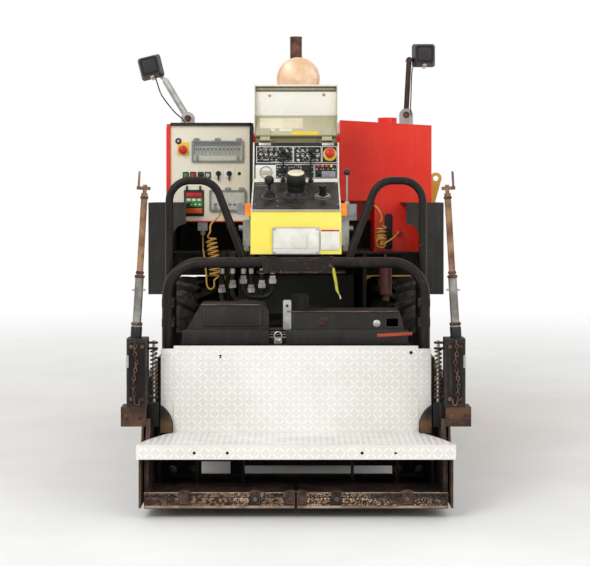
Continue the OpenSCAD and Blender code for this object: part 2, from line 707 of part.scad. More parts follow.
module coil_cord(p) {
    sides = 8;
    n = len(p);
    points = [for (i = [0:n - 1]) each ring(p, i, sides)];
    walls = [
        for (i = [0:n - 2], k = [0:sides - 1]) each [
            [i * sides + k, (i + 1) * sides + k, (i + 1) * sides + (k + 1) % sides],
            [i * sides + k, (i + 1) * sides + (k + 1) % sides, i * sides + (k + 1) % sides]
        ]
    ];
    first = [for (k = [0:sides - 1]) k];
    last = [for (k = [sides - 1:-1:0]) (n - 1) * sides + k];
    color(yellow) polyhedron(points, concat(walls, [first, last]));
}

// Push beam with the lashing eyes and the rollers' ears
roller_r = 75;
roller_y = 2000 - roller_r;
roller_z = 420;
roller_l = 370;
roller_in_x = 40;
roller_pin_r = 14;
ear_t = 12;
eye_r = 20;
module push_beam() {
    color(black) {
        block([-452, frame_front_y, roller_z - 50], [452, roller_y - roller_r - 12, roller_z + 50]);
        both_sides() {
            for (x = [roller_in_x - ear_t - 4, roller_in_x + roller_l + 4])
                side_plate(x, x + ear_t) difference() {
                    union() {
                        translate([roller_y, roller_z]) circle(34);
                        translate([frame_front_y + 20, roller_z - 34]) square([roller_y - frame_front_y - 20, 68]);
                    }
                    translate([roller_y, roller_z]) circle(roller_pin_r + 0.5);
                }
            side_plate(452 - 20, 452) difference() {
                union() {
                    translate([frame_front_y + 25, roller_z - 95]) circle(40);
                    translate([frame_front_y, roller_z - 95]) square([50, 60]);
                }
                translate([frame_front_y + 25, roller_z - 95]) circle(eye_r);
            }
        }
    }
}
module push_roller(side) {
    color(steel) on_side(side) {
        bar_x(roller_in_x, roller_in_x + roller_l, roller_y, roller_z, roller_r);
        bar_x(roller_in_x - ear_t - 4, roller_in_x + roller_l + 4 + ear_t, roller_y, roller_z, roller_pin_r);
    }
}

// A hopper wing in its own frame: the hinge axis at the origin, lowered, on the right-hand side
floor_a = 12;
side_a = 72;
corner = wing_floor_w * [cos(floor_a), sin(floor_a)];
crest = corner + wing_side_h * [cos(side_a), sin(side_a)];
wing_tube_r = 22;
module strip(a, b, t) {
    d = unit(b - a);
    n = [-d.y, d.x] * t;
    polygon([a, b, b + n, a + n]);
}
module wing_shape() {
    d = unit(crest - corner);
    cross_plate(wing_rear_y, wing_front_y) {
        strip([16, 0], corner + wing_t * [cos(floor_a), sin(floor_a)], wing_t);
        strip(corner, crest, wing_t);
        translate(crest) circle(16);
    }
    for (y = [wing_rear_y, wing_front_y - wing_t])
        cross_plate(y, y + wing_t) polygon([
            [30, 8], corner, crest, y == wing_rear_y ? crest + [-182, -109] : crest + [-120, -300], [110, 395], [50, 120]
        ]);
    // lifting ear at the rear wall's outer corner
    cross_plate(wing_rear_y, wing_rear_y + 16) difference() {
        union() {
            translate(crest + [84, 30]) circle(32);
            polygon([crest + [-10, 8], crest + [64, 55], crest + [114, 20], crest - 240 * d + [30, 0], crest - 330 * d]);
        }
        translate(crest + [84, 30]) circle(15);
    }
    for (y = [wing_rear_y + 250, wing_rear_y + 700, wing_rear_y + 1150])
        cross_plate(y, y + wing_t) polygon([
            corner * 0.6, corner + [26, -8], crest + [20, -60] - 100 * d, crest - 130 * d, corner
        ]);
    // hinge tubes between the ears
    for (i = [0, 1]) difference() {
        union() {
            bar_y(ear_ys[i] + ear_w / 2 + 5, ear_ys[i + 1] - ear_w / 2 - 5, 0, 0, wing_tube_r);
        }
        bar_y(ear_ys[i], ear_ys[i + 1], 0, 0, 12.5);
    }
}
module wing_place(side, up) {
    on_side(side) translate([hinge_x, 0, hinge_z]) rotate([0, -up, 0]) children();
}
module wing(side, up) {
    color(yellow) wing_place(side, up) difference() {
        union() {
            wing_shape();
            // cylinder lugs and pin under the floor
            for (y = [ram_y - 27, ram_y + 17]) cross_plate(y, y + 10) {
                translate(ram_lug) circle(22);
                translate(ram_lug - [22, 0]) square([44, ram_drop]);
            }
            bar_y(ram_y - 27, ram_y + 27, ram_lug.x, ram_lug.y, ram_pin_r);
        }
        for (y = ear_ys) bar_y(y - ear_w / 2 - 5, y + ear_w / 2 + 5, 0, 0, 30);
        bar_y(ear_ys[0] - 40, ear_ys[2] + 40, 0, 0, 12.5);
    }
}

// A hydraulic cylinder along its own axis, from the barrel's pin at 0 to the rod's eye at s
module barrel(length, r, bore, eye_r, eye_w, pin) {
    difference() {
        union() {
            rotate([90, 0, 0]) cylinder(h = eye_w, r = eye_r, center = true);
            translate([0, 0, eye_r * 0.8]) cylinder(h = length - eye_r * 0.8, r = r);
            translate([0, 0, length - 24]) cylinder(h = 24, r = r + 5);
        }
        rotate([90, 0, 0]) cylinder(h = 4 * eye_r, r = pin, center = true);
        translate([0, 0, eye_r + 8]) cylinder(h = length, r = bore);
    }
}
module rod(from, to, r, eye_r, eye_w, pin) {
    difference() {
        union() {
            translate([0, 0, from]) cylinder(h = to - from, r = r);
            translate([0, 0, to]) rotate([90, 0, 0]) cylinder(h = eye_w, r = eye_r, center = true);
        }
        translate([0, 0, to]) rotate([90, 0, 0]) cylinder(h = 4 * eye_r, r = pin, center = true);
    }
}

// Wing cylinders, between a foot on the frame plate and the lug under the wing's floor
ram_y = 700;
ram_foot = [400, 250];
ram_reach = 262;
ram_drop = 50;
ram_pin_r = 11;
ram_play = 10.5;
ram_eye_w = 46;
function turned(p, a) = [p.x * cos(a) - p.y * sin(a), p.x * sin(a) + p.y * cos(a)];
ram_lug = [ram_reach * cos(floor_a), ram_reach * sin(floor_a) - ram_drop];
function ram_eye(up) = [hinge_x, hinge_z] + turned(ram_lug, up);
function ram_length(up) = norm(ram_eye(up) - ram_foot);
module along_ram(side, up) {
    d = ram_eye(up) - ram_foot;
    on_side(side) translate([ram_foot.x, ram_y, ram_foot.y]) rotate([0, atan2(d.x, d.y), 0]) children();
}
module wing_barrel(side, up) {
    color(black) along_ram(side, up) barrel(ram_length(0) - 44, 22, 14.3, 20, ram_eye_w, ram_pin_r + 0.3);
}
module wing_rod(side, up) {
    color(steel) along_ram(side, up) rod(ram_length(up) - ram_length(0) + 60, ram_length(up), 14, 29, 30, ram_pin_r + ram_play);
}

// Screed lift cylinders, from the deck's corner to the tow arm
lift_x = arm_x - 52;
lift_ear_in = 24;
lift_ear_t = 8;
lift_top_y = frame_rear_y - 46;
lift_top_z = deck_z - 50;
lift_pin_r = 14;
lift_play = 4.5;
lift_low_y = frame_rear_y - 56;
lift_low_z = tow_z + 10;
lift_length = norm([lift_low_y - lift_top_y, lift_low_z - lift_top_z]);
lift_stroke = 210;
module along_lift(side) {
    a = atan2(lift_low_y - lift_top_y, lift_top_z - lift_low_z);
    on_side(side) translate([lift_x, lift_top_y, lift_top_z]) rotate([180 + a, 0, 0]) rotate([0, 0, 90]) children();
}
module lift_ears() {
    out_x = lift_x + lift_ear_in + lift_ear_t;
    color(black) both_sides() {
        for (x = [lift_x - lift_ear_in - lift_ear_t, lift_x + lift_ear_in])
            block([x, lift_top_y - 30, lift_top_z - 30], [x + lift_ear_t, frame_rear_y - 0.3, deck_z]);
        block([2 * lift_x - out_x, frame_rear_y - 8.3, lift_top_z - 30], [out_x, frame_rear_y - 0.3, deck_z]);
        bar_x(2 * lift_x - out_x, out_x, lift_top_y, lift_top_z, lift_pin_r);
    }
}
module lift_barrel(side) {
    color(black) along_lift(side) barrel(lift_length - lift_stroke, 22, 15.3, 24, 2 * lift_ear_in - 2, lift_pin_r + 0.3);
}
module lift_rod(side) {
    color(steel) along_lift(side) rod(lift_length - lift_stroke - 60, lift_length, 15, 28, 32, lift_pin_r + lift_play);
}

// Auger: one half, with its flight wound outwards
module auger(side) {
    long = screed_half_w - 60;
    color(rust) on_side(side) translate([case_w + 0.3, auger_y, auger_z]) rotate([0, 90, 0]) {
        cylinder(h = long, r = 28, $fn = 24);
        translate([0, 0, 10]) linear_extrude(height = long - 20, twist = 360 * (long - 20) / auger_pitch, slices = 40)
            polygon([[20, -7], [auger_r, -5], [auger_r, 5], [20, 7]]);
    }
}

// Tow arms, from the tow pin to the screed's cheeks
arm_end_y = kick_y + 240;
module tow_arms() {
    color(black) both_sides() {
        difference() {
            side_plate(arm_x, arm_x + arm_t) {
                translate([tow_y, tow_z]) circle(62);
                polygon([
                    [tow_y, tow_z + 62], [arm_end_y, tow_z + 60], [arm_end_y, tow_z - 60], [tow_y - 400, tow_z - 50],
                    [tow_y, tow_z - 62]
                ]);
            }
            bar_x(arm_x - 1, arm_x + arm_t + 1, tow_y, tow_z, tow_pin_r + 0.5);
        }
        block([screed_half_w, arm_end_y, tow_z - 50], [arm_x + 1, arm_end_y + 100, tow_z + 50]);
        bar_x(lift_x - 24, arm_x + 1, lift_low_y, lift_low_z, lift_pin_r);
    }
}

// Main screed frame: cheeks, guide housing, front wall and footboard brackets
cheek_t = 12;
frame_top_z = 345;
deck_box_z = 640;
nose_top_z = shoe_z + 26;
nose_y = screed_front_y - 34;
ear_in_x = 495;
ear_h = 125;
bracket_xs = [-420, -230, 215, 400];

module screed_frame() {
    color(black) difference() {
        union() {
            both_sides() {
                side_plate(screed_half_w - cheek_t, screed_half_w) polygon([
                    [wall_y, shoe_z + shoe_t], [wall_y, 560], [slide_y + 30, 600], [screed_front_y, 520],
                    [screed_front_y, nose_top_z], [nose_y, nose_top_z], [nose_y, shoe_z + shoe_t]
                ]);
                block([screed_half_w - 40, kick_y + 8, 260], [screed_half_w, wall_y + 8, 600]);
                // foot of the guard rail leg
                block([rail_x - 26, rail_y - 26, 560], [screed_half_w - 1, rail_y + 26, 600]);
                // rounded end plates beside the kick plate's lower corners
                cross_plate(kick_y - 30, kick_y - 4) intersection() {
                    translate([ear_in_x, tread_z]) square([kick_w / 2 - ear_in_x, ear_h]);
                    translate([ear_in_x + 100, tread_z + ear_h - 100]) circle(100);
                }
                block([ear_in_x + 26, kick_y - 5, 330], [kick_w / 2, kick_y + 9, 400]);
            }
            bar_x(-screed_half_w + 1, screed_half_w - 1, slide_y, slide_z, guide_r);
            difference() {
                block([-screed_half_w + 1, screed_front_y - 12, nose_top_z], [screed_half_w - 1, screed_front_y, frame_top_z]);
                for (w = [[-404, -280, 118], [-220, 411, 100]])
                    block([w[0], screed_front_y - 13, nose_top_z - 1], [w[1], screed_front_y + 1, w[2]]);
            }
            block([-screed_half_w + 1, wall_y, frame_top_z - 8], [screed_half_w - 1, screed_front_y, frame_top_z]);
            for (x = bracket_xs) {
                block([x, tail_y + 40, tread_z - chequer_t - 30], [x + 40, wall_y + 8, tread_z - chequer_t]);
                block([x, wall_y, slide_z - 30], [x + 40, wall_y + 28, frame_top_z]);
                block([x + 10, wall_y + 28, shoe_z + shoe_t], [x + 20, slide_y, slide_z]);
            }
        }
        bar_x(-screed_half_w - 1, screed_half_w + 1, slide_y, slide_z, slide_r + slide_clear);
    }
}
module screed_plate() {
    r = nose_top_z - shoe_z;
    color(rust) side_plate(-screed_half_w, screed_half_w) {
        translate([wall_y - 4, shoe_z]) square([nose_y - wall_y + 4, shoe_t]);
        difference() {
            translate([nose_y, shoe_z + r]) circle(r);
            translate([nose_y, shoe_z + r]) circle(r - shoe_t);
            translate([nose_y - 2 * r, shoe_z - 1]) square([2 * r, 3 * r]);
            translate([nose_y - 1, shoe_z + r]) square([2 * r, 2 * r]);
        }
    }
}

// Sheet housing over the screed frame, with a low box on its left and a long one on its right
module box_shell(low, high, t) {
    difference() {
        block(low, high);
        block(low + [t, t, -1], high - [t, t, t]);
    }
}
cover_rear_y = kick_y + 120;
cover_front_y = kick_y + 310;
module screed_housing() {
    color(grey) {
        // deck box, with a stay between the two covers
        box_shell([-468, kick_y + 12, frame_top_z], [468, screed_front_y + 10, deck_box_z], sheet_t);
        bar_x(-120, -38, cover_rear_y + 20, deck_box_z + 60, 9);
        // left cover: sloped outer side, rounded inner corner
        cross_plate(cover_rear_y, cover_front_y) difference() {
            left_cover_shape(0);
            left_cover_shape(sheet_t);
        }
        cross_plate(cover_rear_y, cover_rear_y + sheet_t) left_cover_shape(0);
        cross_plate(cover_front_y - sheet_t, cover_front_y) left_cover_shape(0);
        // right cover: long box with a cut-out in its face
        difference() {
            cross_plate(cover_rear_y, cover_front_y) right_cover_shape(0);
            cross_plate(cover_rear_y + sheet_t, cover_front_y - sheet_t) right_cover_shape(sheet_t);
            block([372, cover_rear_y - 1, deck_box_z + 75], [420, cover_rear_y + 10, deck_box_z + 108]);
        }
        bar_z(deck_box_z - 1, deck_box_z + 200, 18, cover_rear_y + 140, 34);
    }
}
module left_cover_shape(in) {
    top = deck_box_z + 166;
    polygon([
        [-466 + in, deck_box_z - 1], [-470 + in, top - 138], [-392 + in / 2, top - in], [-148, top - in],
        [-112 - in, top - 36], [-112 - in, deck_box_z - 1]
    ]);
    intersection() {
        translate([-148, top - 36]) circle(36 - in);
        translate([-148, top - 36]) square([40, 40]);
    }
}
module right_cover_shape(in) {
    top = deck_box_z + 138;
    polygon([
        [-40 + in, deck_box_z - 1], [-40 + in, top - in], [425 - in / 2, top - in], [460 - in, top - 122],
        [460 - in, deck_box_z - 1]
    ]);
}

// Footboard: a tread with cut corners, its lip, and the kick plate
module footboard() {
    half = tread_w / 2;
    color(alloy) {
        translate([0, 0, tread_z - chequer_t]) linear_extrude(height = chequer_t) tread_shape();
        difference() {
            block([-half, tail_y, tread_z - lip_h], [half, tail_y + chequer_t, tread_z]);
            for (x = [-390, -263, 253, 382]) bar_y(tail_y - 1, tail_y + 10, x, tread_z - 32, 6);
        }
        difference() {
            cross_plate(kick_y, kick_y + chequer_t) {
                polygon([
                    [-ear_in_x, tread_z - chequer_t], [ear_in_x, tread_z - chequer_t], [ear_in_x, tread_z + ear_h], [kick_w / 2, tread_z + ear_h],
                    [kick_w / 2, kick_z - 12], [kick_w / 2 - 52, kick_z - 12], [kick_w / 2 - 52, kick_z],
                    [-kick_w / 2 + 52, kick_z], [-kick_w / 2 + 52, kick_z - 12], [-kick_w / 2, kick_z - 12],
                    [-kick_w / 2, tread_z + ear_h], [-ear_in_x, tread_z + ear_h]
                ]);
            }
            for (p = [[-305, 605], [464, 620]]) bar_y(kick_y - 1, kick_y + 10, p.x, p.y, 7);
        }
    }
}
// Plan of the tread: straight rear edge, and arcs that run in to the kick plate's foot
module tread_shape() {
    half = tread_w / 2;
    chord = [half - ear_in_x, tread_d];
    r = norm(chord) * 3.4;
    mid = [(half + ear_in_x) / 2, tail_y + tread_d / 2];
    n = unit([tread_d, half - ear_in_x]);
    centre = mid - n * sqrt(r * r - norm(chord) * norm(chord) / 4);
    intersection() {
        translate([-half, tail_y]) square([tread_w, tread_d + chequer_t]);
        translate(centre) circle(r, $fn = 120);
        translate([-centre.x, centre.y]) circle(r, $fn = 120);
    }
}

// Guard rails: one low hoop, two high hoops behind it, clamps and the console's bracket
rail_bend = 135;
hoop_r = 16;
hoop_in_x = 205;
module guard_rails() {
    color(black) {
        standing_tube(rail_y, [
            [-rail_x, 600], [-rail_x, low_rail_z], [rail_x, low_rail_z], [rail_x, 600]
        ], rail_bend, rail_r);
        both_sides() {
            standing_tube(hoop_y, [
                [hoop_in_x, low_rail_z - 14], [hoop_in_x + 132, top_rail_z], [rail_x - 4, top_rail_z], [rail_x - 4, 700]
            ], 85, hoop_r);
            for (z = [720, 800]) block([rail_x - 26, rail_y - 12, z], [rail_x + 22, hoop_y + 12, z + 34]);
            block([160, rail_y - 10, low_rail_z - 18], [232, hoop_y + 22, low_rail_z + 8]);
        }
        cross_plate(rail_y - 30, rail_y - 24) difference() {
            translate([-135, low_rail_z - 38]) square([285, console_z - low_rail_z + 30]);
            translate([8, console_z + 222]) circle(248, $fn = 120);
        }
        block([-135, rail_y - 25, low_rail_z - 38], [150, hoop_y + 26, low_rail_z - 18]);
        for (x = [-135, 138]) block([x, rail_y - 25, low_rail_z - 38], [x + 12, hoop_y + 26, console_z - 8]);
        block([-160, rail_y - 34, low_rail_z - 42], [200, hoop_y + 60, low_rail_z - 37]);
        block([-135, hoop_y, console_z - 9], [150, hoop_y + 200, console_z]);
    }
}

// Console housing: a bent sheet body with a sloping top and an upright instrument face
console_rear_y = rail_y + 15;
slope_foot = [rail_y + 40, console_z + 176];
slope_head = [rail_y + 330, console_z + 299];
face_top = [rail_y + 368, console_z + 470];
slope_along = unit(slope_head - slope_foot);
face_along = unit(face_top - slope_head);
console_front_y = rail_y + 402;
module console_side(in) {
    polygon([
        [console_rear_y + in, console_z + in], [slope_foot.x + in, slope_foot.y - in],
        [slope_head.x + in, slope_head.y - in], [face_top.x + in, face_top.y - in],
        [console_front_y - in, face_top.y - in], [console_front_y - in, console_z + in]
    ]);
}
module console() {
    color(yellow) difference() {
        side_plate(-console_w / 2, console_w / 2) console_side(0);
        side_plate(-console_w / 2 + 4, console_w / 2 - 4) console_side(4);
        block([-console_w / 2 + 24, rail_y + 200, console_z - 1], [console_w / 2 - 24, console_front_y - 24, console_z + 5]);
    }
    color(cream) both_sides() {
        for (x = [hinge_in_x - 12, hinge_out_x])
            block([x, cover_axis.x - 7, face_top.y - 1], [x + 12, cover_axis.x + 7, cover_axis.y]);
        bar_x(hinge_in_x - 12, hinge_out_x + 12, cover_axis.x, cover_axis.y, cover_pin_r);
    }
}
// Instrument plates lie on the slope and the face
module plate_on(a, b, t) {
    d = unit(b - a);
    n = [-d.y, d.x];
    polygon([a + n * 0.3, b + n * 0.3, b + n * (t + 0.3), a + n * (t + 0.3)]);
}
plate_h = 3;
module instrument_panel() {
    color(black) {
        side_plate(-console_w / 2 + 6, console_w / 2 - 6)
            plate_on(slope_foot + 7 * slope_along, slope_head - 11 * slope_along, plate_h);
        side_plate(-console_w / 2 + 6, console_w / 2 - 6)
            plate_on(slope_head + 9 * face_along, face_top - 3 * face_along, plate_h);
    }
}
slope_a = atan2(slope_head.y - slope_foot.y, slope_head.x - slope_foot.x);
// Places a control on the slope: u along it from its foot, x across
module on_slope(x, u) {
    p = slope_foot + slope_along * u;
    translate([x, p.x, p.y]) rotate([slope_a, 0, 0]) translate([0, 0, plate_h + 0.6]) children();
}
module controls() {
    color(black) {
        on_slope(0, 150) rotate_extrude() polygon([
            [0, 0], [58, 0], [58, 5], [46, 10], [36, 26], [36, 40], [39, 42], [39, 98], [35, 104], [0, 104]
        ]);
        on_slope(-112, 150) rotate_extrude() polygon([
            [0, 0], [27, 0], [24, 7], [20, 11], [19, 17], [15, 21], [12, 28], [6, 32], [6, 50], [14, 59],
            [19, 72], [17, 81], [0, 84]
        ]);
        on_slope(112, 150) rotate_extrude() polygon([
            [0, 0], [27, 0], [27, 4], [14, 8], [14, 34], [17, 38], [17, 50], [0, 52]
        ]);
        for (x = [-55, 63]) on_slope(x, 308) cylinder(h = 6, r = 9);
        for (x = [-55, 63]) on_slope(x, 308) rotate([-slope_a, 0, 0]) {
            translate([0, 0, 2]) cylinder(h = 126, r = 4);
            translate([0, 0, 130]) sphere(12);
        }
    }
}

// Valve blocks on both sides of the console, with fittings; the right one has a lever with a ball
valve_y = rail_y + 150;
valve_z = console_z + 8;
module valve_blocks() {
    x = console_w / 2 + 0.3;
    color(steel) {
        both_sides() {
            block([x, valve_y - 40, valve_z + 24], [x + 34, valve_y + 40, valve_z + 130]);
            for (y = [valve_y - 22, valve_y + 22]) {
                hex_bar(valve_z + 2, valve_z + 25, x + 17, y, 14);
                bar_x(x + 33, x + 52, y, valve_z + 96, 11);
            }
        }
        block([x, valve_y - 34, valve_z + 129], [x + 66, valve_y + 34, valve_z + 196]);
        translate([x + 26, valve_y, valve_z + 190]) rotate([4, 0, 0]) {
            cylinder(h = 18, r1 = 15, r2 = 9);
            cylinder(h = 132, r = 4);
            translate([0, 0, 140]) sphere(14);
        }
    }
}

// Amber lamps in sleeves beside the console
module side_lamps() {
    x = console_w / 2 + 0.3;
    color([0.95, 0.45, 0.1]) both_sides() {
        block([x, rail_y + 44, console_z + 156], [x + 24, rail_y + 92, console_z + 208]);
        block([x + 23, rail_y + 48, console_z + 160], [x + 56, rail_y + 88, console_z + 204]);
    }
}

// Hinged weather cover, open: two flat panels with side lips, turning about the console's top edge
cover_axis = face_top + [16, 12];
cover_t = 3;
hinge_in_x = 112;
hinge_out_x = 156;
cover_pin_r = 4;
cover_mid = [60, 104];
cover_tip = [34, 241];
cover_foot = [10, 14];
module console_cover() {
    inside = [-cover_t, 0];
    lip = cover_tip - [24, 6];
    color(cream) translate([0, cover_axis.x, cover_axis.y]) {
        side_plate(-180, 180) polygon([
            cover_foot, cover_mid, cover_tip, lip, lip - [0, cover_t], cover_tip + [-cover_t, -cover_t - 1],
            cover_mid + inside, cover_foot + inside
        ]);
        both_sides() side_plate(177, 181) polygon([
            cover_foot + [0.5, 2], cover_mid + [0.5, 0], cover_tip + [0.5, 1], lip + [-1, 1], cover_mid - [38, 0]
        ]);
        both_sides() side_plate(hinge_in_x + 0.5, hinge_out_x - 0.5) difference() {
            union() {
                circle(7.5);
                polygon([[-4, 4.4], [5, -3.3], [30, 45], [18, 50]]);
            }
            circle(cover_pin_r + 0.2);
        }
    }
}

// Screed extension: its heated shoe, carriage, sliding tube and outer cheek
ext_cheek_x = screed_half_w + 15;
ext_rear_y = kick_y - 230;
ext_wall_z = 101;
module extension(side) {
    color(rust) on_side(side) {
        block([4, ext_rear_y, shoe_z], [ext_cheek_x + 15, kick_y, shoe_z + shoe_t]);
        block([4, ext_rear_y, shoe_z + 11], [ext_cheek_x + 15, ext_rear_y + 8, ext_wall_z]);
        difference() {
            block([8, ext_rear_y + 40, shoe_z + 11], [ext_cheek_x + 1, kick_y - 10, ext_wall_z - 4]);
            block([16, ext_rear_y + 48, shoe_z + shoe_t], [ext_cheek_x - 8, kick_y - 18, ext_wall_z - 12]);
        }
        // straps and hinge knuckles along the rear wall
        for (x = [4, 141, 414]) {
            block([x, ext_rear_y - 8, shoe_z + 22], [x + 34, ext_rear_y + 1, ext_wall_z + 8]);
            bar_x(x + 4, x + 30, ext_rear_y - 6, ext_wall_z + 6, 9);
            block([x + 8, ext_rear_y, ext_wall_z - 12], [x + 26, ext_rear_y + 41, ext_wall_z - 4]);
        }
        side_plate(ext_cheek_x, ext_cheek_x + 15) polygon([
            [kick_y - 200, shoe_z + 11], [kick_y - 200, 200], [kick_y - 130, 372], [kick_y + 200, 372],
            [kick_y + 200, shoe_z + 11]
        ]);
        bar_x(25, ext_cheek_x + 1, slide_y, slide_z, slide_r);
    }
}

// End gate with its guide box, step block and crank post
gate_x = ext_cheek_x + 25;
gate_t = 8;
post_y = kick_y - 90;
post_foot_x = gate_x + 36;
post_lean = 3.4;
module end_gate(side) {
    color(rust) on_side(side) {
        difference() {
            side_plate(gate_x, gate_x + gate_t) polygon([
                [kick_y - 250, shoe_z + 6], [kick_y - 250, 238], [kick_y - 180, 238], [kick_y - 140, 345],
                [kick_y + 410, 345], [kick_y + 460, 270], [kick_y + 460, shoe_z + 30], [kick_y + 438, shoe_z + 6]
            ]);
            for (y = [kick_y - 100, kick_y + 100], z = [130, 250]) bar_x(gate_x - 1, gate_x + gate_t + 1, y, z, 9);
        }
        block([ext_cheek_x + 15, kick_y - 120, 200], [gate_x + 1, kick_y - 20, 300]);
        block([gate_x - 8, post_y - 50, 344], [gate_x + 90, post_y + 50, 420]);
        block([gate_x - 12, post_y - 45, 419], [gate_x + 68, post_y + 45, 690]);
        translate([post_foot_x, post_y, 680]) rotate([0, -post_lean, 0]) {
            cylinder(h = 60, r = 20);
            cylinder(h = 250, r = 17);
            cylinder(h = 585, r = 13);
            translate([0, 0, 584]) cylinder(h = 34, r = 8);
            translate([-22, 0, 604]) rotate([0, 90, 0]) cylinder(h = 54, r = 7);
            translate([25, 0, 604]) cylinder(h = 66, r = 4.5);
        }
    }
}

chassis();
engine_block();
hood();
electrical_cabinet();
cabinet_panel();
hydraulic_tank();
muffler();
hopper_base();
conveyor();
side_panels();
lamp_arms();
work_lamps();
front_axle();
push_beam();
hoses();
accumulator();
coil_cord(left_cord);  // coil_cord_left
coil_cord(right_cord);  // coil_cord_right
push_roller(-1);  // push_roller_left
push_roller(1);  // push_roller_right
wing(-1, left_wing_up);  // wing_left
wing(1, right_wing_up);  // wing_right
wing_barrel(-1, left_wing_up);  // wing_barrel_left
wing_barrel(1, right_wing_up);  // wing_barrel_right
wing_rod(-1, left_wing_up);  // wing_rod_left
wing_rod(1, right_wing_up);  // wing_rod_right
drive_tyre(-1);  // drive_tyre_left
drive_rim(-1);  // drive_rim_left
drive_tyre(1);  // drive_tyre_right
drive_rim(1);  // drive_rim_right
knuckle(-1);  // knuckle_left
knuckle(1);  // knuckle_right
steer_tyre(-1);  // steer_tyre_left
steer_hub(-1);  // steer_hub_left
steer_tyre(1);  // steer_tyre_right
steer_hub(1);  // steer_hub_right
auger(-1);  // auger_left
auger(1);  // auger_right
tow_arms();
screed_frame();
screed_plate();
screed_housing();
footboard();
guard_rails();
console();
instrument_panel();
controls();
valve_blocks();
side_lamps();
console_cover();
extension(-1);  // extension_left
extension(1);  // extension_right
end_gate(-1);  // end_gate_left
end_gate(1);  // end_gate_right
lift_ears();
lift_barrel(-1);  // lift_barrel_left
lift_barrel(1);  // lift_barrel_right
lift_rod(-1);  // lift_rod_left
lift_rod(1);  // lift_rod_right
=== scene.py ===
"""Looks of a small wheeled asphalt paver, seen from behind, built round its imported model.

Shapes are worked out in millimetres in the model's own frame, and piece() turns them into metres. +Y drives
forward, +X is the machine's right side, +Z is up.
"""
import math

import bmesh
import bpy
import mathutils
import numpy as np
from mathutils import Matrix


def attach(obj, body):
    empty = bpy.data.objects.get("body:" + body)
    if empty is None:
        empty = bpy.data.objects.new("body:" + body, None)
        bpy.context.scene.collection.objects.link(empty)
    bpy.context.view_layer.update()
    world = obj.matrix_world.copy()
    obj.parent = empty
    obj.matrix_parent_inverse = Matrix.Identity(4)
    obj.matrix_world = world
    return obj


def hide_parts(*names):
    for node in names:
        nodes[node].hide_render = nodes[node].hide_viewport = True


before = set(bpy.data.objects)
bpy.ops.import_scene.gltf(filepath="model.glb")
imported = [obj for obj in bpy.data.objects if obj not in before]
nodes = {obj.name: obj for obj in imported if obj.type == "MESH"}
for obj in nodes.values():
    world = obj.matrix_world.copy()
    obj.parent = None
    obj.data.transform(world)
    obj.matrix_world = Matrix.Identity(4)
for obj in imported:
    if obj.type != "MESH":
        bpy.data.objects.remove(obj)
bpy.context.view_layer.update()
MM = 0.001
X, Y, Z = np.eye(3)
SIDES = ((-1, "left", -X), (1, "right", X))
rng = np.random.default_rng(7)


# Camera: at eye height behind the machine, level, with the picture shifted down
CAMERA_BACK = 7.6
CAMERA_HIGH = 1.26
FOCAL_PX = 1463
PICTURE_W = 590
PICTURE_H = 566
HORIZON_PX = 194
CENTRE_PX = 296


def set_camera():
    """A level camera on the centre plane. The shift puts the horizon where the picture has it."""
    data = bpy.data.cameras.new("rear_view")
    data.sensor_width = 36
    data.lens = FOCAL_PX / PICTURE_W * data.sensor_width
    data.shift_x = (PICTURE_W / 2 - CENTRE_PX) / PICTURE_W
    data.shift_y = (HORIZON_PX - PICTURE_H / 2) / PICTURE_W
    data.clip_end = 200
    camera = bpy.data.objects.new("rear_view", data)
    camera.location = (0, -CAMERA_BACK, CAMERA_HIGH)
    camera.rotation_euler = (math.pi / 2, 0, 0)
    bpy.context.scene.collection.objects.link(camera)
    bpy.context.scene.camera = camera


set_camera()


# Shapes

def unit(v):
    """The vectors of v, each divided by its length."""
    v = np.asarray(v, float)
    return v / np.linalg.norm(v, axis=-1, keepdims=True)


def stack(rings, closed=True):
    """Rings of points (rows, points, 3) joined row to row by quads, with a cap at each end where closed."""
    rows, cols = rings.shape[:2]
    index = np.arange(rows * cols).reshape(rows, cols)
    beside = np.roll(index, -1, axis=1)
    quads = np.stack([index[:-1], beside[:-1], beside[1:], index[1:]], axis=-1).reshape(-1, 4)
    caps = [index[0, ::-1].tolist(), index[-1].tolist()] if closed else []
    return rings.reshape(-1, 3), quads.tolist() + caps


def grid(points):
    """An open surface: points (rows, cols, 3) joined by quads."""
    rows, cols = points.shape[:2]
    index = np.arange(rows * cols).reshape(rows, cols)
    quads = np.stack([index[:-1, :-1], index[:-1, 1:], index[1:, 1:], index[1:, :-1]], axis=-1)
    return points.reshape(-1, 3), quads.reshape(-1, 4).tolist()


def copies(part, places):
    """One part repeated: its points plus each row of places."""
    points, faces = part
    places = np.asarray(places, float)
    moved = points[None] + places[:, None]
    n = len(points)
    return moved.reshape(-1, 3), [[i + k * n for i in face] for k in range(len(places)) for face in faces]


def join(parts):
    """Several parts as one list of points and one of faces."""
    start = np.cumsum([0] + [len(p) for p, _ in parts])
    faces = [[i + s for i in face] for (_, fs), s in zip(parts, start) for face in fs]
    return np.concatenate([p for p, _ in parts]), faces


def rounded(w, h, r, n=4):
    """Outline of a rectangle w by h whose corners are arcs of radius r, n + 1 points to a corner."""
    r = min(r, w / 2 - 0.001, h / 2 - 0.001)
    a = np.linspace(0, math.pi / 2, n + 1)
    arc = np.stack([np.cos(a), np.sin(a)], axis=1) * r
    out = []
    for k, (sx, sy) in enumerate(((1, 1), (-1, 1), (-1, -1), (1, -1))):
        c, s = math.cos(k * math.pi / 2), math.sin(k * math.pi / 2)
        out.append(arc @ np.array([[c, s], [-s, c]]) + [sx * (w / 2 - r), sy * (h / 2 - r)])
    return np.concatenate(out)


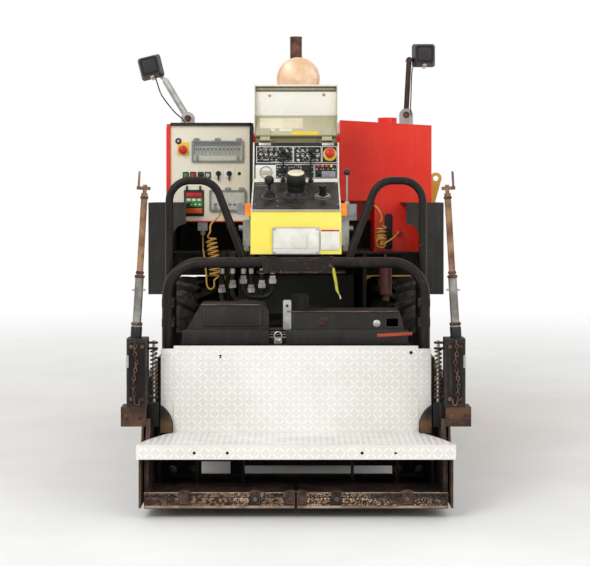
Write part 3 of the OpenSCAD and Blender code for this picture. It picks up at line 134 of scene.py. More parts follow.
def slab(at, w, h, depth, corner=3, edge=1, across=X, up=Z, n=4):
    """A plate standing on the point at: w across, h up, its face depth away along across x up.
    Its outline shrinks by edge * (1 - cos) while it rises by edge * sin, which rounds the front edge."""
    normal = np.cross(across, up)
    t = np.linspace(0, math.pi / 2, 4)
    inset = np.concatenate([[0, 0], edge * (1 - np.cos(t[1:]))])
    rise = np.concatenate([[0, depth - edge], depth - edge + edge * np.sin(t[1:])])
    rings = []
    for i, k in zip(inset, rise):
        o = rounded(w - 2 * i, h - 2 * i, max(corner - i, 0.2), n)
        rings.append(np.asarray(at) + o[:, :1] * across + o[:, 1:] * up + k * normal)
    return stack(np.array(rings))


def framed(at, w, h, bar, depth, corner=3, across=X, up=Z):
    """A rectangular ring: bars of width bar round an opening, from the outer outline to the inner one."""
    normal = np.cross(across, up)
    outer = rounded(w, h, corner)
    inner = rounded(w - 2 * bar, h - 2 * bar, max(corner - bar, 0.4))
    rings = [(outer, 0), (outer, depth), (inner, depth), (inner, 0), (outer, 0)]
    return stack(np.array([np.asarray(at) + o[:, :1] * across + o[:, 1:] * up + k * normal for o, k in rings]), False)


def turned(at, axis, profile, sides=24, phase=0.0, hollow=False):
    """A lathe shape: each profile point [radius, height] becomes a circle round the axis through at. A hollow one
    joins its last circle to its first, as a ring; the others are capped."""
    axis = unit(axis)
    side = unit(np.cross(axis, X if abs(axis[0]) < 0.8 else Z))
    other = np.cross(axis, side)
    a = np.arange(sides) * 2 * math.pi / sides + phase
    circle = np.cos(a)[:, None] * side + np.sin(a)[:, None] * other
    p = np.asarray(profile, float)
    p = np.concatenate([p, p[:1]]) if hollow else p
    return stack(np.asarray(at) + p[:, :1, None] * circle[None] + p[:, 1:, None] * axis, not hollow)


def hoop(at, axis, profile, sides):
    """A hollow lathe shape."""
    return turned(at, axis, profile, sides, hollow=True)


def spline(points, count):
    """A Catmull-Rom curve: between two points each coordinate is the cubic that their neighbours set."""
    p = np.asarray(points, float)
    p = np.concatenate([2 * p[:1] - p[1:2], p, 2 * p[-1:] - p[-2:-1]])
    u = np.linspace(0, len(points) - 1, count)
    i = np.minimum(u.astype(int), len(points) - 2)
    t = (u - i)[:, None]
    a, b, c, d = p[i], p[i + 1], p[i + 2], p[i + 3]
    return 0.5 * (2 * b + (c - a) * t + (2 * a - 5 * b + 4 * c - d) * t ** 2 + (3 * b - a - 3 * c + d) * t ** 3)


def run_of(path):
    """How far along the path each of its points lies."""
    return np.concatenate([[0], np.cumsum(np.linalg.norm(np.diff(path, axis=0), axis=1))])


def along_path(path, distances):
    """The points that lie the given distances along the path."""
    return np.stack([np.interp(distances, run_of(path), path[:, i]) for i in range(3)], axis=1)


def tube(path, radius, sides=12, beside=None):
    """A circle of the given radius carried along the path, square to it. The radius may vary along it."""
    path = np.asarray(path, float)
    along = unit(np.gradient(path, axis=0))
    beside = np.eye(3)[int(np.argmin(np.ptp(path, axis=0)))] if beside is None else beside
    u = unit(np.cross(along, beside + 1e-3))
    v = np.cross(along, u)
    a = np.arange(sides) * 2 * math.pi / sides
    r = np.broadcast_to(radius, len(path))[:, None, None]
    ring = np.cos(a)[None, :, None] * u[:, None] + np.sin(a)[None, :, None] * v[:, None]
    return stack(path[:, None] + r * ring)


def rod(start, end, radius, sides=12):
    """A straight round bar with its ends chamfered by 0.6 mm."""
    edge = 0.6
    long = float(np.linalg.norm(np.subtract(end, start)))
    profile = [[radius - edge, 0], [radius, edge], [radius, long - edge], [radius - edge, long]]
    return turned(start, np.subtract(end, start), profile, sides)


def bolt(at, axis, size=13):
    """A hexagon head with a chamfered rim on a flat washer; size is across the head's corners."""
    r, h = size / 2, size * 0.36
    return join([turned(at, axis, [[r * 1.3, 0], [r * 1.3, h * 0.25], [r * 1.22, h * 0.32]], 14),
                 turned(at, axis, [[r, h * 0.3], [r, h], [r * 0.86, h * 1.2]], 6, 0.3)])


def bolts(places, axis, size=13):
    """The same bolt at each of the places."""
    return copies(bolt((0, 0, 0), axis, size), places)


def piece(name, parts, finish, body="tractor", sharp=38):
    """One mesh object of the given parts, with outward normals, its finish, and the body that it rides on."""
    points, faces = join(parts) if isinstance(parts, list) else parts
    mesh = bpy.data.meshes.new(name)
    mesh.from_pydata((points * MM).tolist(), [], faces)
    shape = bmesh.new()
    shape.from_mesh(mesh)
    bmesh.ops.remove_doubles(shape, verts=shape.verts, dist=2e-6)
    bmesh.ops.recalc_face_normals(shape, faces=shape.faces)
    shape.to_mesh(mesh)
    shape.free()
    mesh.polygons.foreach_set("use_smooth", [True] * len(mesh.polygons))
    mesh.set_sharp_from_angle(angle=math.radians(sharp))
    made = bpy.data.objects.new(name, mesh)
    bpy.context.scene.collection.objects.link(made)
    mesh.materials.append(finish)
    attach(made, body)
    return made


# Finishes

def linear(code):
    """Turns an sRGB hex colour into Blender's linear red, green, blue and alpha."""
    c = np.array([int(code[i:i + 2], 16) / 255 for i in (0, 2, 4)])
    return [*np.where(c <= 0.04045, c / 12.92, ((c + 0.055) / 1.055) ** 2.4), 1.0]


def add(tree, kind, links=None, **settings):
    """Adds one shader node. settings are its properties; links are its inputs: a value, or a socket."""
    made = tree.nodes.new("ShaderNode" + kind)
    for name, value in settings.items():
        setattr(made, name, value)
    for name, value in (links or {}).items():
        if isinstance(value, bpy.types.NodeSocket):
            tree.links.new(value, made.inputs[name])
        else:
            made.inputs[name].default_value = value
    return made


def new_finish(name):
    """An empty node material, its tree, and the object's own coordinates."""
    made = bpy.data.materials.new(name)
    made.use_nodes = True
    made.node_tree.nodes.clear()
    return made, made.node_tree, add(made.node_tree, "TexCoord").outputs["Object"]


def close(tree, links, height=None, strength=0.0, distance=0.001):
    """The relief, the surface shader and the output, at the end of every finish."""
    if height is not None:
        relief = {"Height": height, "Strength": strength, "Distance": distance}
        links["Normal"] = add(tree, "Bump", relief).outputs[0]
    add(tree, "OutputMaterial", {"Surface": add(tree, "BsdfPrincipled", links).outputs[0]})


def ramp(tree, value, low=0.0, high=1.0, first=0.0, last=1.0, curve="LINEAR"):
    """Carries a value from low..high to first..last and stops there."""
    links = {"Value": value, "From Min": low, "From Max": high, "To Min": first, "To Max": last}
    return add(tree, "MapRange", links, interpolation_type=curve).outputs[0]


def noise(tree, at, scale, detail, roughness=0.5):
    """Noise with the given cells to a metre."""
    links = {"Vector": at, "Scale": scale, "Detail": detail, "Roughness": roughness}
    return add(tree, "TexNoise", links).outputs["Fac"]


def cloud(tree, at, size, detail=4.0, low=0.35, high=0.65, stretch=(1, 1, 1)):
    """A soft mask from 0 to 1 in patches of about the given size in metres, longer where stretch is small."""
    stretched = add(tree, "Mapping", {"Vector": at, "Scale": stretch}).outputs[0]
    return ramp(tree, noise(tree, stretched, 0.5 / size, detail, 0.6), low, high, curve="SMOOTHSTEP")


def maths(tree, operation, *values):
    """The same operation over all the values in turn."""
    out = values[0]
    for value in values[1:]:
        out = add(tree, "Math", {0: out, 1: value}, operation=operation).outputs[0]
    return out


def times(tree, *values):
    """The product of masks."""
    return maths(tree, "MULTIPLY", *values)


# Places in the two inputs and the output of a colour mix
FACTOR, FIRST, SECOND, MIXED = 0, 6, 7, 2


def layer(tree, under, over, mask):
    """One colour over another where the mask is 1. A colour is a socket or an sRGB code."""
    under, over = (linear(c) if isinstance(c, str) else c for c in (under, over))
    return add(tree, "Mix", {FACTOR: mask, FIRST: under, SECOND: over}, data_type="RGBA").outputs[MIXED]


def edges(tree, width):
    """A mask that is 1 along edges: how far the rounded normal leans from the surface's own."""
    soft = add(tree, "Bevel", {"Radius": width}, samples=4).outputs[0]
    own = add(tree, "NewGeometry").outputs["Normal"]
    dot = add(tree, "VectorMath", {0: soft, 1: own}, operation="DOT_PRODUCT").outputs["Value"]
    return ramp(tree, dot, 0.985, 0.86)


def height_mask(tree, at, axis, low, high):
    """A mask that grows from 0 at low to 1 at high along one axis."""
    return ramp(tree, add(tree, "SeparateXYZ", {0: at}).outputs[axis], low, high)


def upward(tree):
    """A mask that is 1 on faces that look up, where dust settles."""
    return height_mask(tree, add(tree, "NewGeometry").outputs["Normal"], 2, 0.35, 0.95)


def painted(name, colour, faded, chip, roughness=0.4, wear=0.6, dust=0.35, dust_colour="B7A98F", coat=0.0,
            shine=0.5, trim=None, spotting=0.66):
    """Sprayed enamel on sheet steel: sun-faded patches, rain streaks, dust on top, chips along the edges."""
    made, tree, at = new_finish(name)
    base = layer(tree, colour, faded, cloud(tree, at, 0.16, 5))
    if trim:
        base = layer(tree, base, trim[3], height_mask(tree, at, *trim[:3]))
    streaks = cloud(tree, at, 0.012, 3, 0.5, 0.8, (1, 1, 0.08))
    base = layer(tree, base, dust_colour, times(tree, streaks, 0.35 * dust))
    settled = times(tree, upward(tree), cloud(tree, at, 0.05, 6, 0.3, 0.7), dust)
    base = layer(tree, base, dust_colour, settled)
    chips = times(tree, edges(tree, 0.005), cloud(tree, at, 0.012, 6, 0.45, 0.6), wear)
    spots = times(tree, cloud(tree, at, 0.008, 4, spotting, spotting + 0.08),
                  cloud(tree, at, 0.15, 2, spotting - 0.2, spotting), wear)
    bare = maths(tree, "MAXIMUM", chips, spots)
    base = layer(tree, base, chip, bare)
    rough = ramp(tree, maths(tree, "MAXIMUM", bare, settled), first=roughness, last=0.85)
    # the spray's orange peel, 3 mm from crest to crest
    relief = maths(tree, "SUBTRACT", noise(tree, at, 330, 2), bare)
    close(tree, {"Base Color": base, "Roughness": rough, "Specular IOR Level": shine, "Coat Weight": coat,
                 "Coat Roughness": 0.15}, relief, 0.05)
    return made


def rusted(name, light, dark, stain, roughness=0.85, stain_share=0.5):
    """Bare steel left outdoors: rust in two browns, flaking, with bitumen or soil caught on it."""
    made, tree, at = new_finish(name)
    base = layer(tree, dark, light, cloud(tree, at, 0.02, 7))
    base = layer(tree, base, stain, times(tree, cloud(tree, at, 0.07, 6, 0.42, 0.6), stain_share))
    base = layer(tree, base, "8C7B6C", times(tree, edges(tree, 0.004), cloud(tree, at, 0.02, 4, 0.4, 0.6), 0.6))
    flakes = noise(tree, at, 160, 6, 0.7)
    close(tree, {"Base Color": base, "Metallic": 0.1, "Roughness": roughness}, flakes, 0.6, 0.002)
    return made


def machined(name, colour, shade, roughness=0.3, rust=0.15):
    """Bare working steel: bright, finely scored, with rust starting in patches."""
    made, tree, at = new_finish(name)
    spots = times(tree, cloud(tree, at, 0.03, 7, 0.52, 0.62), rust)
    base = layer(tree, layer(tree, colour, shade, cloud(tree, at, 0.04, 5)), "6E4A33", spots)
    lines = noise(tree, at, 400, 3)
    rough = ramp(tree, lines, first=roughness - 0.08, last=roughness + 0.2)
    metal = ramp(tree, spots, first=1.0, last=0.2)
    close(tree, {"Base Color": base, "Metallic": metal, "Roughness": rough}, lines, 0.12, 0.0005)
    return made


def moulded(name, colour, worn, roughness=0.45, grain=0.15, dust=0.25, grain_size=900, shine=0.4):
    """Moulded plastic or rubber: a fine texture from the mould, greyed where hands and weather reach."""
    made, tree, at = new_finish(name)
    base = layer(tree, colour, worn, cloud(tree, at, 0.03, 6))
    base = layer(tree, base, "A79B86", times(tree, upward(tree), cloud(tree, at, 0.02, 5, 0.3, 0.7), dust))
    base = layer(tree, base, worn, times(tree, edges(tree, 0.002), 0.6))
    close(tree, {"Base Color": base, "Roughness": roughness, "Specular IOR Level": shine},
          noise(tree, at, grain_size, 2), grain, 0.0004)
    return made


def zoned(name, zones, bump=0.3):
    """Steel whose surface changes along its length. Each zone is (light, dark, metal, roughness) and, from the
    second on, (axis, low, high): there it covers the zones before it where that coordinate passes from low to high."""
    made, tree, at = new_finish(name)
    patches = cloud(tree, at, 0.03, 6)
    light, dark, metal, rough = zones[0]
    base = layer(tree, dark, light, patches)
    for light, dark, zone_metal, zone_rough, axis, low, high in zones[1:]:
        mask = height_mask(tree, at, axis, low, high)
        base = layer(tree, base, layer(tree, dark, light, patches), mask)
        metal = ramp(tree, mask, first=metal, last=zone_metal)
        rough = ramp(tree, mask, first=rough, last=zone_rough)
    base = layer(tree, base, "7D6A58", times(tree, edges(tree, 0.004), cloud(tree, at, 0.015, 5, 0.45, 0.6), 0.5))
    close(tree, {"Base Color": base, "Metallic": metal, "Roughness": rough}, noise(tree, at, 220, 5), bump)
    return made


def flaked(name, film, crumbs, flakes):
    """Bitumen film with tan crumbs and a few pale stones showing: two sizes of cells, each coloured by its number."""
    made, tree, at = new_finish(name)
    base = film
    for colour, scale, low, high, size, thin, thick in ((crumbs, 100, 0.55, 0.6, 0.05, 0.4, 0.55),
                                                        (flakes, 260, 0.72, 0.76, 0.06, 0.45, 0.6)):
        cells = add(tree, "TexVoronoi", {"Vector": at, "Scale": scale}).outputs
        chosen = ramp(tree, add(tree, "SeparateColor", {0: cells["Color"]}).outputs[0], low, high)
        base = layer(tree, base, colour, times(tree, chosen, cloud(tree, at, size, 5, thin, thick, (0.4, 1, 1))))
        if colour == crumbs:
            lumps = cells["Distance"]
    close(tree, {"Base Color": base, "Roughness": 0.75}, lumps, 0.5, 0.002)
    return made


def clear(name, colour, roughness, weight, alpha=1.0):
    """Glass or clear plastic: a smooth body that light passes, tinted by its colour, with a thin film of dirt."""
    made, tree, at = new_finish(name)
    rough = ramp(tree, cloud(tree, at, 0.02, 5, 0.3, 0.7), first=roughness, last=roughness + 0.25)
    close(tree, {"Base Color": linear(colour), "Roughness": rough, "Transmission Weight": weight, "IOR": 1.49,
                 "Alpha": alpha})
    return made


# Polyurethane enamel on the tractor's chassis: nearly black, dusty on top, chipped at its edges
black_enamel = painted("black_enamel", "121110", "1E1C1A", "5F4C3E", 0.46, 0.5, 0.22, shine=0.14)
# The same on the rails, rubbed through to rust where hands and boots go
rail_enamel = painted("rail_enamel", "131110", "1F1A17", "75503A", 0.4, 1.0, 0.3, "6B5A48", shine=0.2, spotting=0.62)
# Red polyester enamel on the body sheets: a strong red that the sun has warmed, with a soft gloss
red_enamel = painted("red_enamel", "E0240E", "E6341A", "5B2A20", 0.34, 0.4, 0.12, coat=0.15, shine=0.35)
# The same on the cabinet, whose plug box underneath is grey
cabinet_enamel = painted("cabinet_enamel", "E0240E", "E6341A", "5B2A20", 0.34, 0.4, 0.12, coat=0.15, shine=0.35,
                         trim=(2, 1.1328, 1.1325, "A3A5A4"))
# Yellow enamel on the console: pale lemon, clean, hardly worn
lemon_enamel = painted("lemon_enamel", "F6E250", "F8E868", "8A7A45", 0.34, 0.25, 0.12, coat=0.4)
# Yellow enamel inside the hopper: ochre where it was hot, scoured to steel and browned by asphalt
wing_enamel = painted("wing_enamel", "D9A732", "C48F33", "4C3A2C", 0.5, 1.0, 0.5, "6B5238")
# Cream enamel on the instrument panel's sheet: off-white with a faint yellowing
cream_enamel = painted("cream_enamel", "F0EBD8", "E8E1CA", "8C8064", 0.36, 0.25, 0.15)
# The same on the lid; its lower half and hinge arms, below 1.6 m, are beige: painted shade of the downward-angled lower
# half
lid_enamel_with_low_shade = painted("lid_enamel_with_low_shade", "F0EBD8", "E8E1CA", "8C8064", 0.36, 0.25, 0.15, trim=(2, 1.604, 1.603, "B4AF90"))
# Lemon enamel of the console; the dark khaki on the hinge lugs above its top edge is painted shade of the gap under the
# lid
console_enamel_and_lug_shade = painted("console_enamel_and_lug_shade", "F6E250", "F8E868", "8A7A45", 0.34, 0.25, 0.12, coat=0.3,
                         trim=(2, 1.4802, 1.4806, "6E6847"))
# Dark grey enamel on the screed's covers: chalky, scuffed, its dust baked on
grey_enamel = painted("grey_enamel", "201F1D", "2F2C28", "6A5A4A", 0.5, 0.6, 0.4, "6F6455", shine=0.25)
# Red oxide primer on the pressure vessel: matt red-brown
oxide_primer = painted("oxide_primer", "4C261C", "5E3023", "3A3430", 0.55, 0.4, 0.3)
# Hot-dip galvanised steel: grey spangles, dulled outdoors
galvanised = machined("galvanised_steel", "A9ABA8", "8E908E", 0.42, 0.1)
# Valve blocks: galvanised, with a black ball on the lever
valve_steel = zoned("valve_steel", [("B0B2AF", "8E908E", 0.7, 0.42), ("161616", "101010", 0.0, 0.35, 2, 1.338, 1.339)])
# Hard chrome on the cylinders' rods: a mirror with a film of oil
hard_chrome = machined("hard_chrome", "D2D3D2", "BDBDBB", 0.14, 0.0)
# Rolled steel that the mix polishes: bright on its working faces, brown in its corners
worn_steel = machined("worn_steel", "8F8A83", "6B625A", 0.38, 0.7)
# Hot-rolled steel under bitumen: dark brown rust with black film
bitumen_steel = rusted("bitumen_steel", "54382A", "2A1D17", "0F0C0A", 0.75, 0.85)
# Rusty steel that has dried in the sun: lighter, orange-brown
dry_rust = rusted("dry_rust", "6E4A34", "402A1E", "211914")
# Aluminised steel on the muffler, tinted peach by its heat; above the shell a pipe scaled dark brown
heat_tinted = zoned("heat_tinted_steel", [("F8DFBF", "E9C197", 0.2, 0.38),
                                          ("6A4836", "33221A", 0.5, 0.4, 2, 1.925, 1.93)])
# Lamp arms: galvanised tube; the right one is painted dark brown above its foot
arm_steel = zoned("lamp_arm_steel", [("B4B6B2", "8C8E8B", 0.9, 0.42), ("3E2A20", "22170F", 0.3, 0.5, 0, 0.1, 0.11),
                                     ("A9ABA8", "8E908E", 0.9, 0.42, 2, 1.69, 1.68)])
# End gates: rusty plates, black guide boxes, posts that are galvanised below and rusty above
gate_steel = zoned("end_gate_steel", [("5E402E", "33231A", 0.1, 0.85), ("26221F", "151312", 0.2, 0.6, 2, 0.418, 0.42),
                                      ("9A9A95", "75716A", 0.8, 0.45, 2, 0.69, 0.70),
                                      ("A5805E", "6E4C36", 0.2, 0.75, 2, 0.90, 0.98)])
# Side lamps: an amber cap against the console and a weathered grey sleeve outside it
lamp_sleeve = zoned("side_lamp_plastics", [("85888A", "6F7172", 0.0, 0.5),
                                           ("FF9A2A", "F0780E", 0.0, 0.18, 0, -0.21, -0.2095),
                                           ("85888A", "6F7172", 0.0, 0.5, 0, 0.2095, 0.21)], 0.05)
# Natural rubber with carbon black: matt, greyed with road dust
tyre_rubber = moulded("tyre_rubber", "131211", "24211E", 0.75, 0.35, 0.3, 500, 0.25)
# Nitrile hose cover: smooth black with a faint weave
hose_rubber = moulded("hose_rubber", "111111", "1F1E1C", 0.55, 0.2, 0.2, 700, 0.3)
# Glass-filled nylon on grips, knobs and lamp housings
black_nylon = moulded("black_nylon", "0F0F0F", "1C1B1A", 0.42, 0.2, 0.12, 900, 0.3)
# The same nylon where the sun has bleached it
worn_nylon = moulded("worn_nylon", "202020", "2C2B2A", 0.5, 0.2, 0.15)
# Powder coat on the lid: khaki trim, also painted shade in the gap under it; beige-grey, painted shade on its lower
# panel
lid_olive_and_gap_shade = painted("lid_olive_and_gap_shade", "857E58", "6E6847", "4A452F", 0.45, 0.4, 0.3)
beige_grey_and_lid_shade = painted("beige_grey_and_lid_shade", "BDB898", "AEA888", "77725A", 0.45, 0.3, 0.3)
# Polyurethane sleeve on the curly cords: warm yellow, slightly waxy
cord_sleeve = moulded("cord_sleeve", "E0B25C", "C2924A", 0.4, 0.1, 0.2)
# Chequer plate: rolled aluminium under a cream wash, scuffed grey on top of its bars
chequer_alloy = painted("chequer_aluminium", "EAE8E3", "DFDCD5", "8B877E", 0.42, 0.3, 0.25, "8F877A")
# The bars on top of it, rubbed bright by boots
bar_alloy = painted("chequer_bars", "F9F8F5", "F2F0EC", "A9A59C", 0.34, 0.3, 0.1, "B0A898")
# Iron castings of the engine: grey paint over rough castings
engine_iron = painted("engine_iron", "5B5E5C", "6A6B66", "3F3B36", 0.5, 0.4, 0.5)
# Satin polycarbonate label, blank
white_label = moulded("white_label", "ECEBE4", "DDD9CB", 0.4, 0.05, 0.2)
grey_label = moulded("grey_label", "B9BAB4", "A9A8A0", 0.4, 0.05, 0.2)
beige_label = moulded("beige_label", "E9E0C6", "DCD1B2", 0.45, 0.05, 0.2)
yellow_label = moulded("yellow_label", "F2CE2B", "E3BE2A", 0.4, 0.05, 0.15)
# Moulded plastics of the buttons
red_plastic = moulded("red_plastic", "D8202A", "B81A22", 0.3, 0.05, 0.1)
green_plastic = moulded("green_plastic", "3F8F4A", "357A40", 0.35, 0.05, 0.1)
orange_plastic = moulded("orange_plastic", "E8672A", "CC5A22", 0.35, 0.05, 0.1)
blue_grey = moulded("grey_plastic", "8D9092", "7A7D7F", 0.4, 0.05, 0.2)
# Turned brass, dulled brown by handling
brass = machined("brass", "B5964E", "8F7438", 0.35, 0.1)
# Enamel worn bright along the covers' lips; the same pale steel at the dial's flange edge is a painted highlight
worn_edge_and_highlight = machined("worn_edge_steel", "6F6A63", "4B4742", 0.42, 0.5)
# Scraped edge of the rear wall: pale steel between rust
pale_steel = machined("pale_scraped_steel", "B7A694", "8A7460", 0.45, 0.7)
# White powder coat on the lid's inside
white_panel = painted("white_panel", "FDFBF2", "FAF7EC", "A09A80", 0.4, 0.05, 0.0)
# Orange strap faded to pink, and a yellow polyester tie
faded_orange = moulded("faded_orange_strap", "C4553A", "A8503C", 0.7, 0.3, 0.2)
tie_yellow = moulded("tie_yellow", "CBC63C", "AFA932", 0.6, 0.3, 0.1)
# Ear plates: rust-brown at the foot, black above
ear_steel = zoned("ear_steel", [("7A5A3C", "3E2C22", 0.2, 0.7), ("2E2A27", "181513", 0.2, 0.55, 2, 0.335, 0.375)])
# Dried mix: gravel-grey and tan flakes in bitumen
scorched_crust = flaked("dried_mix", "2A1C15", "8A6A52", "CDB397")
# Smoked acrylic sheet, scratched by cleaning, and moulded glass with a film of dust
smoked_window = clear("smoked_window", "D5D9D4", 0.08, 0.5, 0.3)
lamp_glass = clear("lamp_glass", "E6E9E4", 0.06, 0.95)
# Zinc plate on bolts and small fittings: bright grey, white corrosion in its dull patches
zinc = machined("zinc_plated_steel", "B9B7AE", "A19E93", 0.3, 0.15)

# The finish of each solid; a star stands for left and right
finish_of = {
    rail_enamel: ["guard_rails"],
    black_enamel: ["chassis", "front_axle", "push_beam", "tow_arms", "screed_frame", "lift_barrel_*", "lift_ears",
                   "wing_barrel_*", "knuckle_*"],
    engine_iron: ["engine_block"],
    red_enamel: ["hood", "hydraulic_tank"],
    cabinet_enamel: ["electrical_cabinet"],
    cream_enamel: ["cabinet_panel"],
    lid_enamel_with_low_shade: ["console_cover"],
    console_enamel_and_lug_shade: ["console"],
    heat_tinted: ["muffler"],
    wing_enamel: ["hopper_base", "wing_*"],
    worn_steel: ["conveyor", "push_roller_*", "auger_*"],
    grey_enamel: ["side_panels", "screed_housing"],
    valve_steel: ["valve_blocks"],
    arm_steel: ["lamp_arms"],
    gate_steel: ["end_gate_*"],
    black_nylon: ["work_lamps", "controls", "instrument_panel"],
    hose_rubber: ["hoses"],
    oxide_primer: ["accumulator"],
    tyre_rubber: ["drive_tyre_*", "steer_tyre_*"],
    lemon_enamel: ["drive_rim_*", "steer_hub_*"],
    chequer_alloy: ["footboard"],
    bitumen_steel: ["screed_plate", "extension_*"],
    hard_chrome: ["wing_rod_*", "lift_rod_*"],
    lamp_sleeve: ["side_lamps"],
    cord_sleeve: ["coil_cord_*"],
}
for finish, names in finish_of.items():
    for name in sorted({name.replace("*", side) for name in names for side in ("left", "right")}):
        for part_slot in nodes[name].material_slots:
            part_slot.material = finish


# Curly cords, on the routes of their solids in mm; the last number is 1 where the route is the coil's axis
CORD_D = 8
COIL_R = 23.2
RUN_IN = 90
left_route = [
    [-425, -930, 1074, 0], [-425, -930, 1052, 0], [-422, -960, 1030, 0], [-420, -1000, 1022, 0],
    [-418, -1040, 1020, 0], [-414, -1072, 1010, 0], [-408, -1090, 980, 0], [-402, -1098, 940, 0],
    [-398, -1102, 900, 0], [-397, -1106, 866, 0], [-391, -1109, 845, 0], [-378, -1112, 835, 0],
    [-364, -1114, 845, 0], [-359, -1115, 864, 0], [-360, -1115, 878, 1], [-362, -1115, 960, 1],
    [-370, -1112, 1020, 1], [-380, -1105, 1085, 1], [-381, -1104, 1098, 0], [-382, -1094, 1116, 0],
    [-376, -1070, 1130, 0], [-364, -1040, 1142, 0], [-352, -1010, 1154, 0], [-342, -980, 1168, 0],
    [-334, -962, 1183, 0], [-334, -944.2, 1183, 0]]
right_route = [
    [356, -951, 1206, 0], [358, -970, 1205, 0], [366, -984, 1198, 0], [378, -990, 1182, 0], [386, -990, 1162, 0],
    [389, -990, 1146, 0], [389, -990, 1134, 1], [386, -990, 1090, 1], [384, -1000, 1056, 1],
    [384, -1024, 1037, 1], [384, -1050, 1034, 1], [384, -1060, 1034, 0], [388, -1074, 1036, 0],
    [402, -1082, 1044, 0], [422, -1078, 1056, 0], [442, -1060, 1070, 0], [456, -1034, 1080, 0],
    [462, -1006, 1086, 0], [464, -984, 1088, 0], [464, -969.2, 1088, 0]]


def evenly(path, steps):
    """Points a step apart along the path, and its length."""
    long = run_of(path)[-1]
    return along_path(path, np.linspace(0, long, steps)), long


def curly_path(route, pitch, steps=500, fine=1200):
    """The cord's centreline. Along the coil it is the route plus a circle of radius COIL_R in the plane across
    the route, turned once for each pitch. Over RUN_IN at the coil's ends the radius grows smoothly and the turning
    lags behind it, so that the lead runs into the coil without a kink."""
    route = np.asarray(route, float)
    raw = spline(route[:, :3], fine)
    line, long = evenly(raw, fine)
    coiled = np.interp(np.linspace(0, len(route) - 1, fine), np.arange(len(route)), route[:, 3]) > 0.5
    coiled = (np.interp(np.linspace(0, long, fine), run_of(raw), coiled) > 0.5).astype(float)
    n = int(RUN_IN * (fine - 1) / long) | 1
    grow = np.clip(1.5 * np.convolve(np.pad(coiled, n // 2, "edge"), np.ones(n) / n, "valid") - 0.5, 0, 1)
    grow = grow * grow * (3 - 2 * grow)
    along = unit(np.gradient(line, axis=0))
    u = unit(np.cross(along, [0.8, 0.5, 0.3]))
    v = np.cross(along, u)
    angle = np.cumsum(np.clip(grow ** 2.5, 0.25, 1) * (grow > 0)) * long / (fine - 1) / pitch * 2 * math.pi
    path, _ = evenly(line + COIL_R * grow[:, None] * (np.cos(angle)[:, None] * u + np.sin(angle)[:, None] * v), steps)
    for _ in range(8):
        path[1:-1] += 0.25 * (path[2:] - 2 * path[1:-1] + path[:-2])
    return evenly(path, steps)


for side, route in (("left", left_route), ("right", right_route)):
    path, long = curly_path(route, 18)
    made = piece(f"curly_cord_{side}", tube(path, CORD_D / 2, 8), cord_sleeve, "tractor", 80)
    path, long = path * MM, float(long * MM)
    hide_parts(f"coil_cord_{side}")


# Light, floor and background

def set_stage():
    """A pale floor, a world that the camera and reflections see as white, and two soft lamps."""
    scene = bpy.context.scene
    scene.view_settings.view_transform = "Standard"
    world = bpy.data.worlds.new("studio")
    world.use_nodes = True
    tree = world.node_tree
    tree.nodes.clear()
    path = add(tree, "LightPath").outputs
    seen = maths(tree, "MAXIMUM", *(path[f"Is {kind} Ray"] for kind in ("Camera", "Glossy", "Transmission")))
    # the light falls off towards the horizon, as under an open sky; the eye sees plain white
    high = add(tree, "SeparateXYZ", {0: add(tree, "TexCoord").outputs["Generated"]}).outputs["Z"]
    strength = add(tree, "Mix", {0: seen, 2: ramp(tree, high, -0.1, 0.8, 0.3, 0.95), 3: 1.0}).outputs[0]
    sky = add(tree, "Background", {"Color": linear("FFFFFF"), "Strength": strength})
    add(tree, "OutputWorld", {"Surface": sky.outputs[0]})
    scene.world = world
    bpy.ops.mesh.primitive_plane_add(size=60, location=(0, 0, 0))
    floor = bpy.context.object
    floor.name = "studio_floor"
    made, tree, at = new_finish("studio_floor")
    base = layer(tree, "F2F2F0", "ECECEA", cloud(tree, at, 0.4))
    # it fades into the white background between 2.5 m and 9 m from the machine
    far = add(tree, "VectorMath", {0: at}, operation="LENGTH").outputs["Value"]
    solid = ramp(tree, far, 2.5, 9.0, 1.0, 0.0, "SMOOTHSTEP")
    close(tree, {"Base Color": base, "Roughness": 0.9, "Alpha": solid})
    floor.data.materials.append(made)
    for name, place, size, power in (("key", (-4.5, -9.0, 6.5), 4.0, 390), ("fill", (5.0, -8.0, 4.0), 5.0, 140)):
        lamp = bpy.data.lights.new(name, "AREA")
        lamp.energy = power
        lamp.size = size
        lamp_object = bpy.data.objects.new(name, lamp)
        lamp_object.location = place
        direction = np.array([0, -0.6, 0.8]) - np.array(place)
        lamp_object.rotation_euler = mathutils.Vector(direction).to_track_quat("-Z", "Y").to_euler()
        scene.collection.objects.link(lamp_object)


set_stage()


# Chequer plate: raised lens-shaped bars, alternately leaning left and right, 23.5 mm apart
def lens_bar(across, up, lean):
    """One raised bar, half-length 13 mm, half-width 3.3 mm, 1.5 mm high. Along t and across s its height is
    (1 - t^2)(1 - s^2) and its width shrinks with the square root of 1 - t^2."""
    t, s = np.meshgrid(np.linspace(-1, 1, 7), np.linspace(-1, 1, 5), indexing="ij")
    long, wide = 13 * t, 3.3 * s * np.sqrt(1 - t ** 2 * 0.96)
    high = 1.7 * (1 - t ** 2) * (1 - s ** 2) - 0.2
    c, k = math.cos(lean), math.sin(lean)
    normal = np.cross(across, up)
    flat = (c * long - k * wide)[..., None] * across + (k * long + c * wide)[..., None] * up
    return grid(flat + high[..., None] * normal)


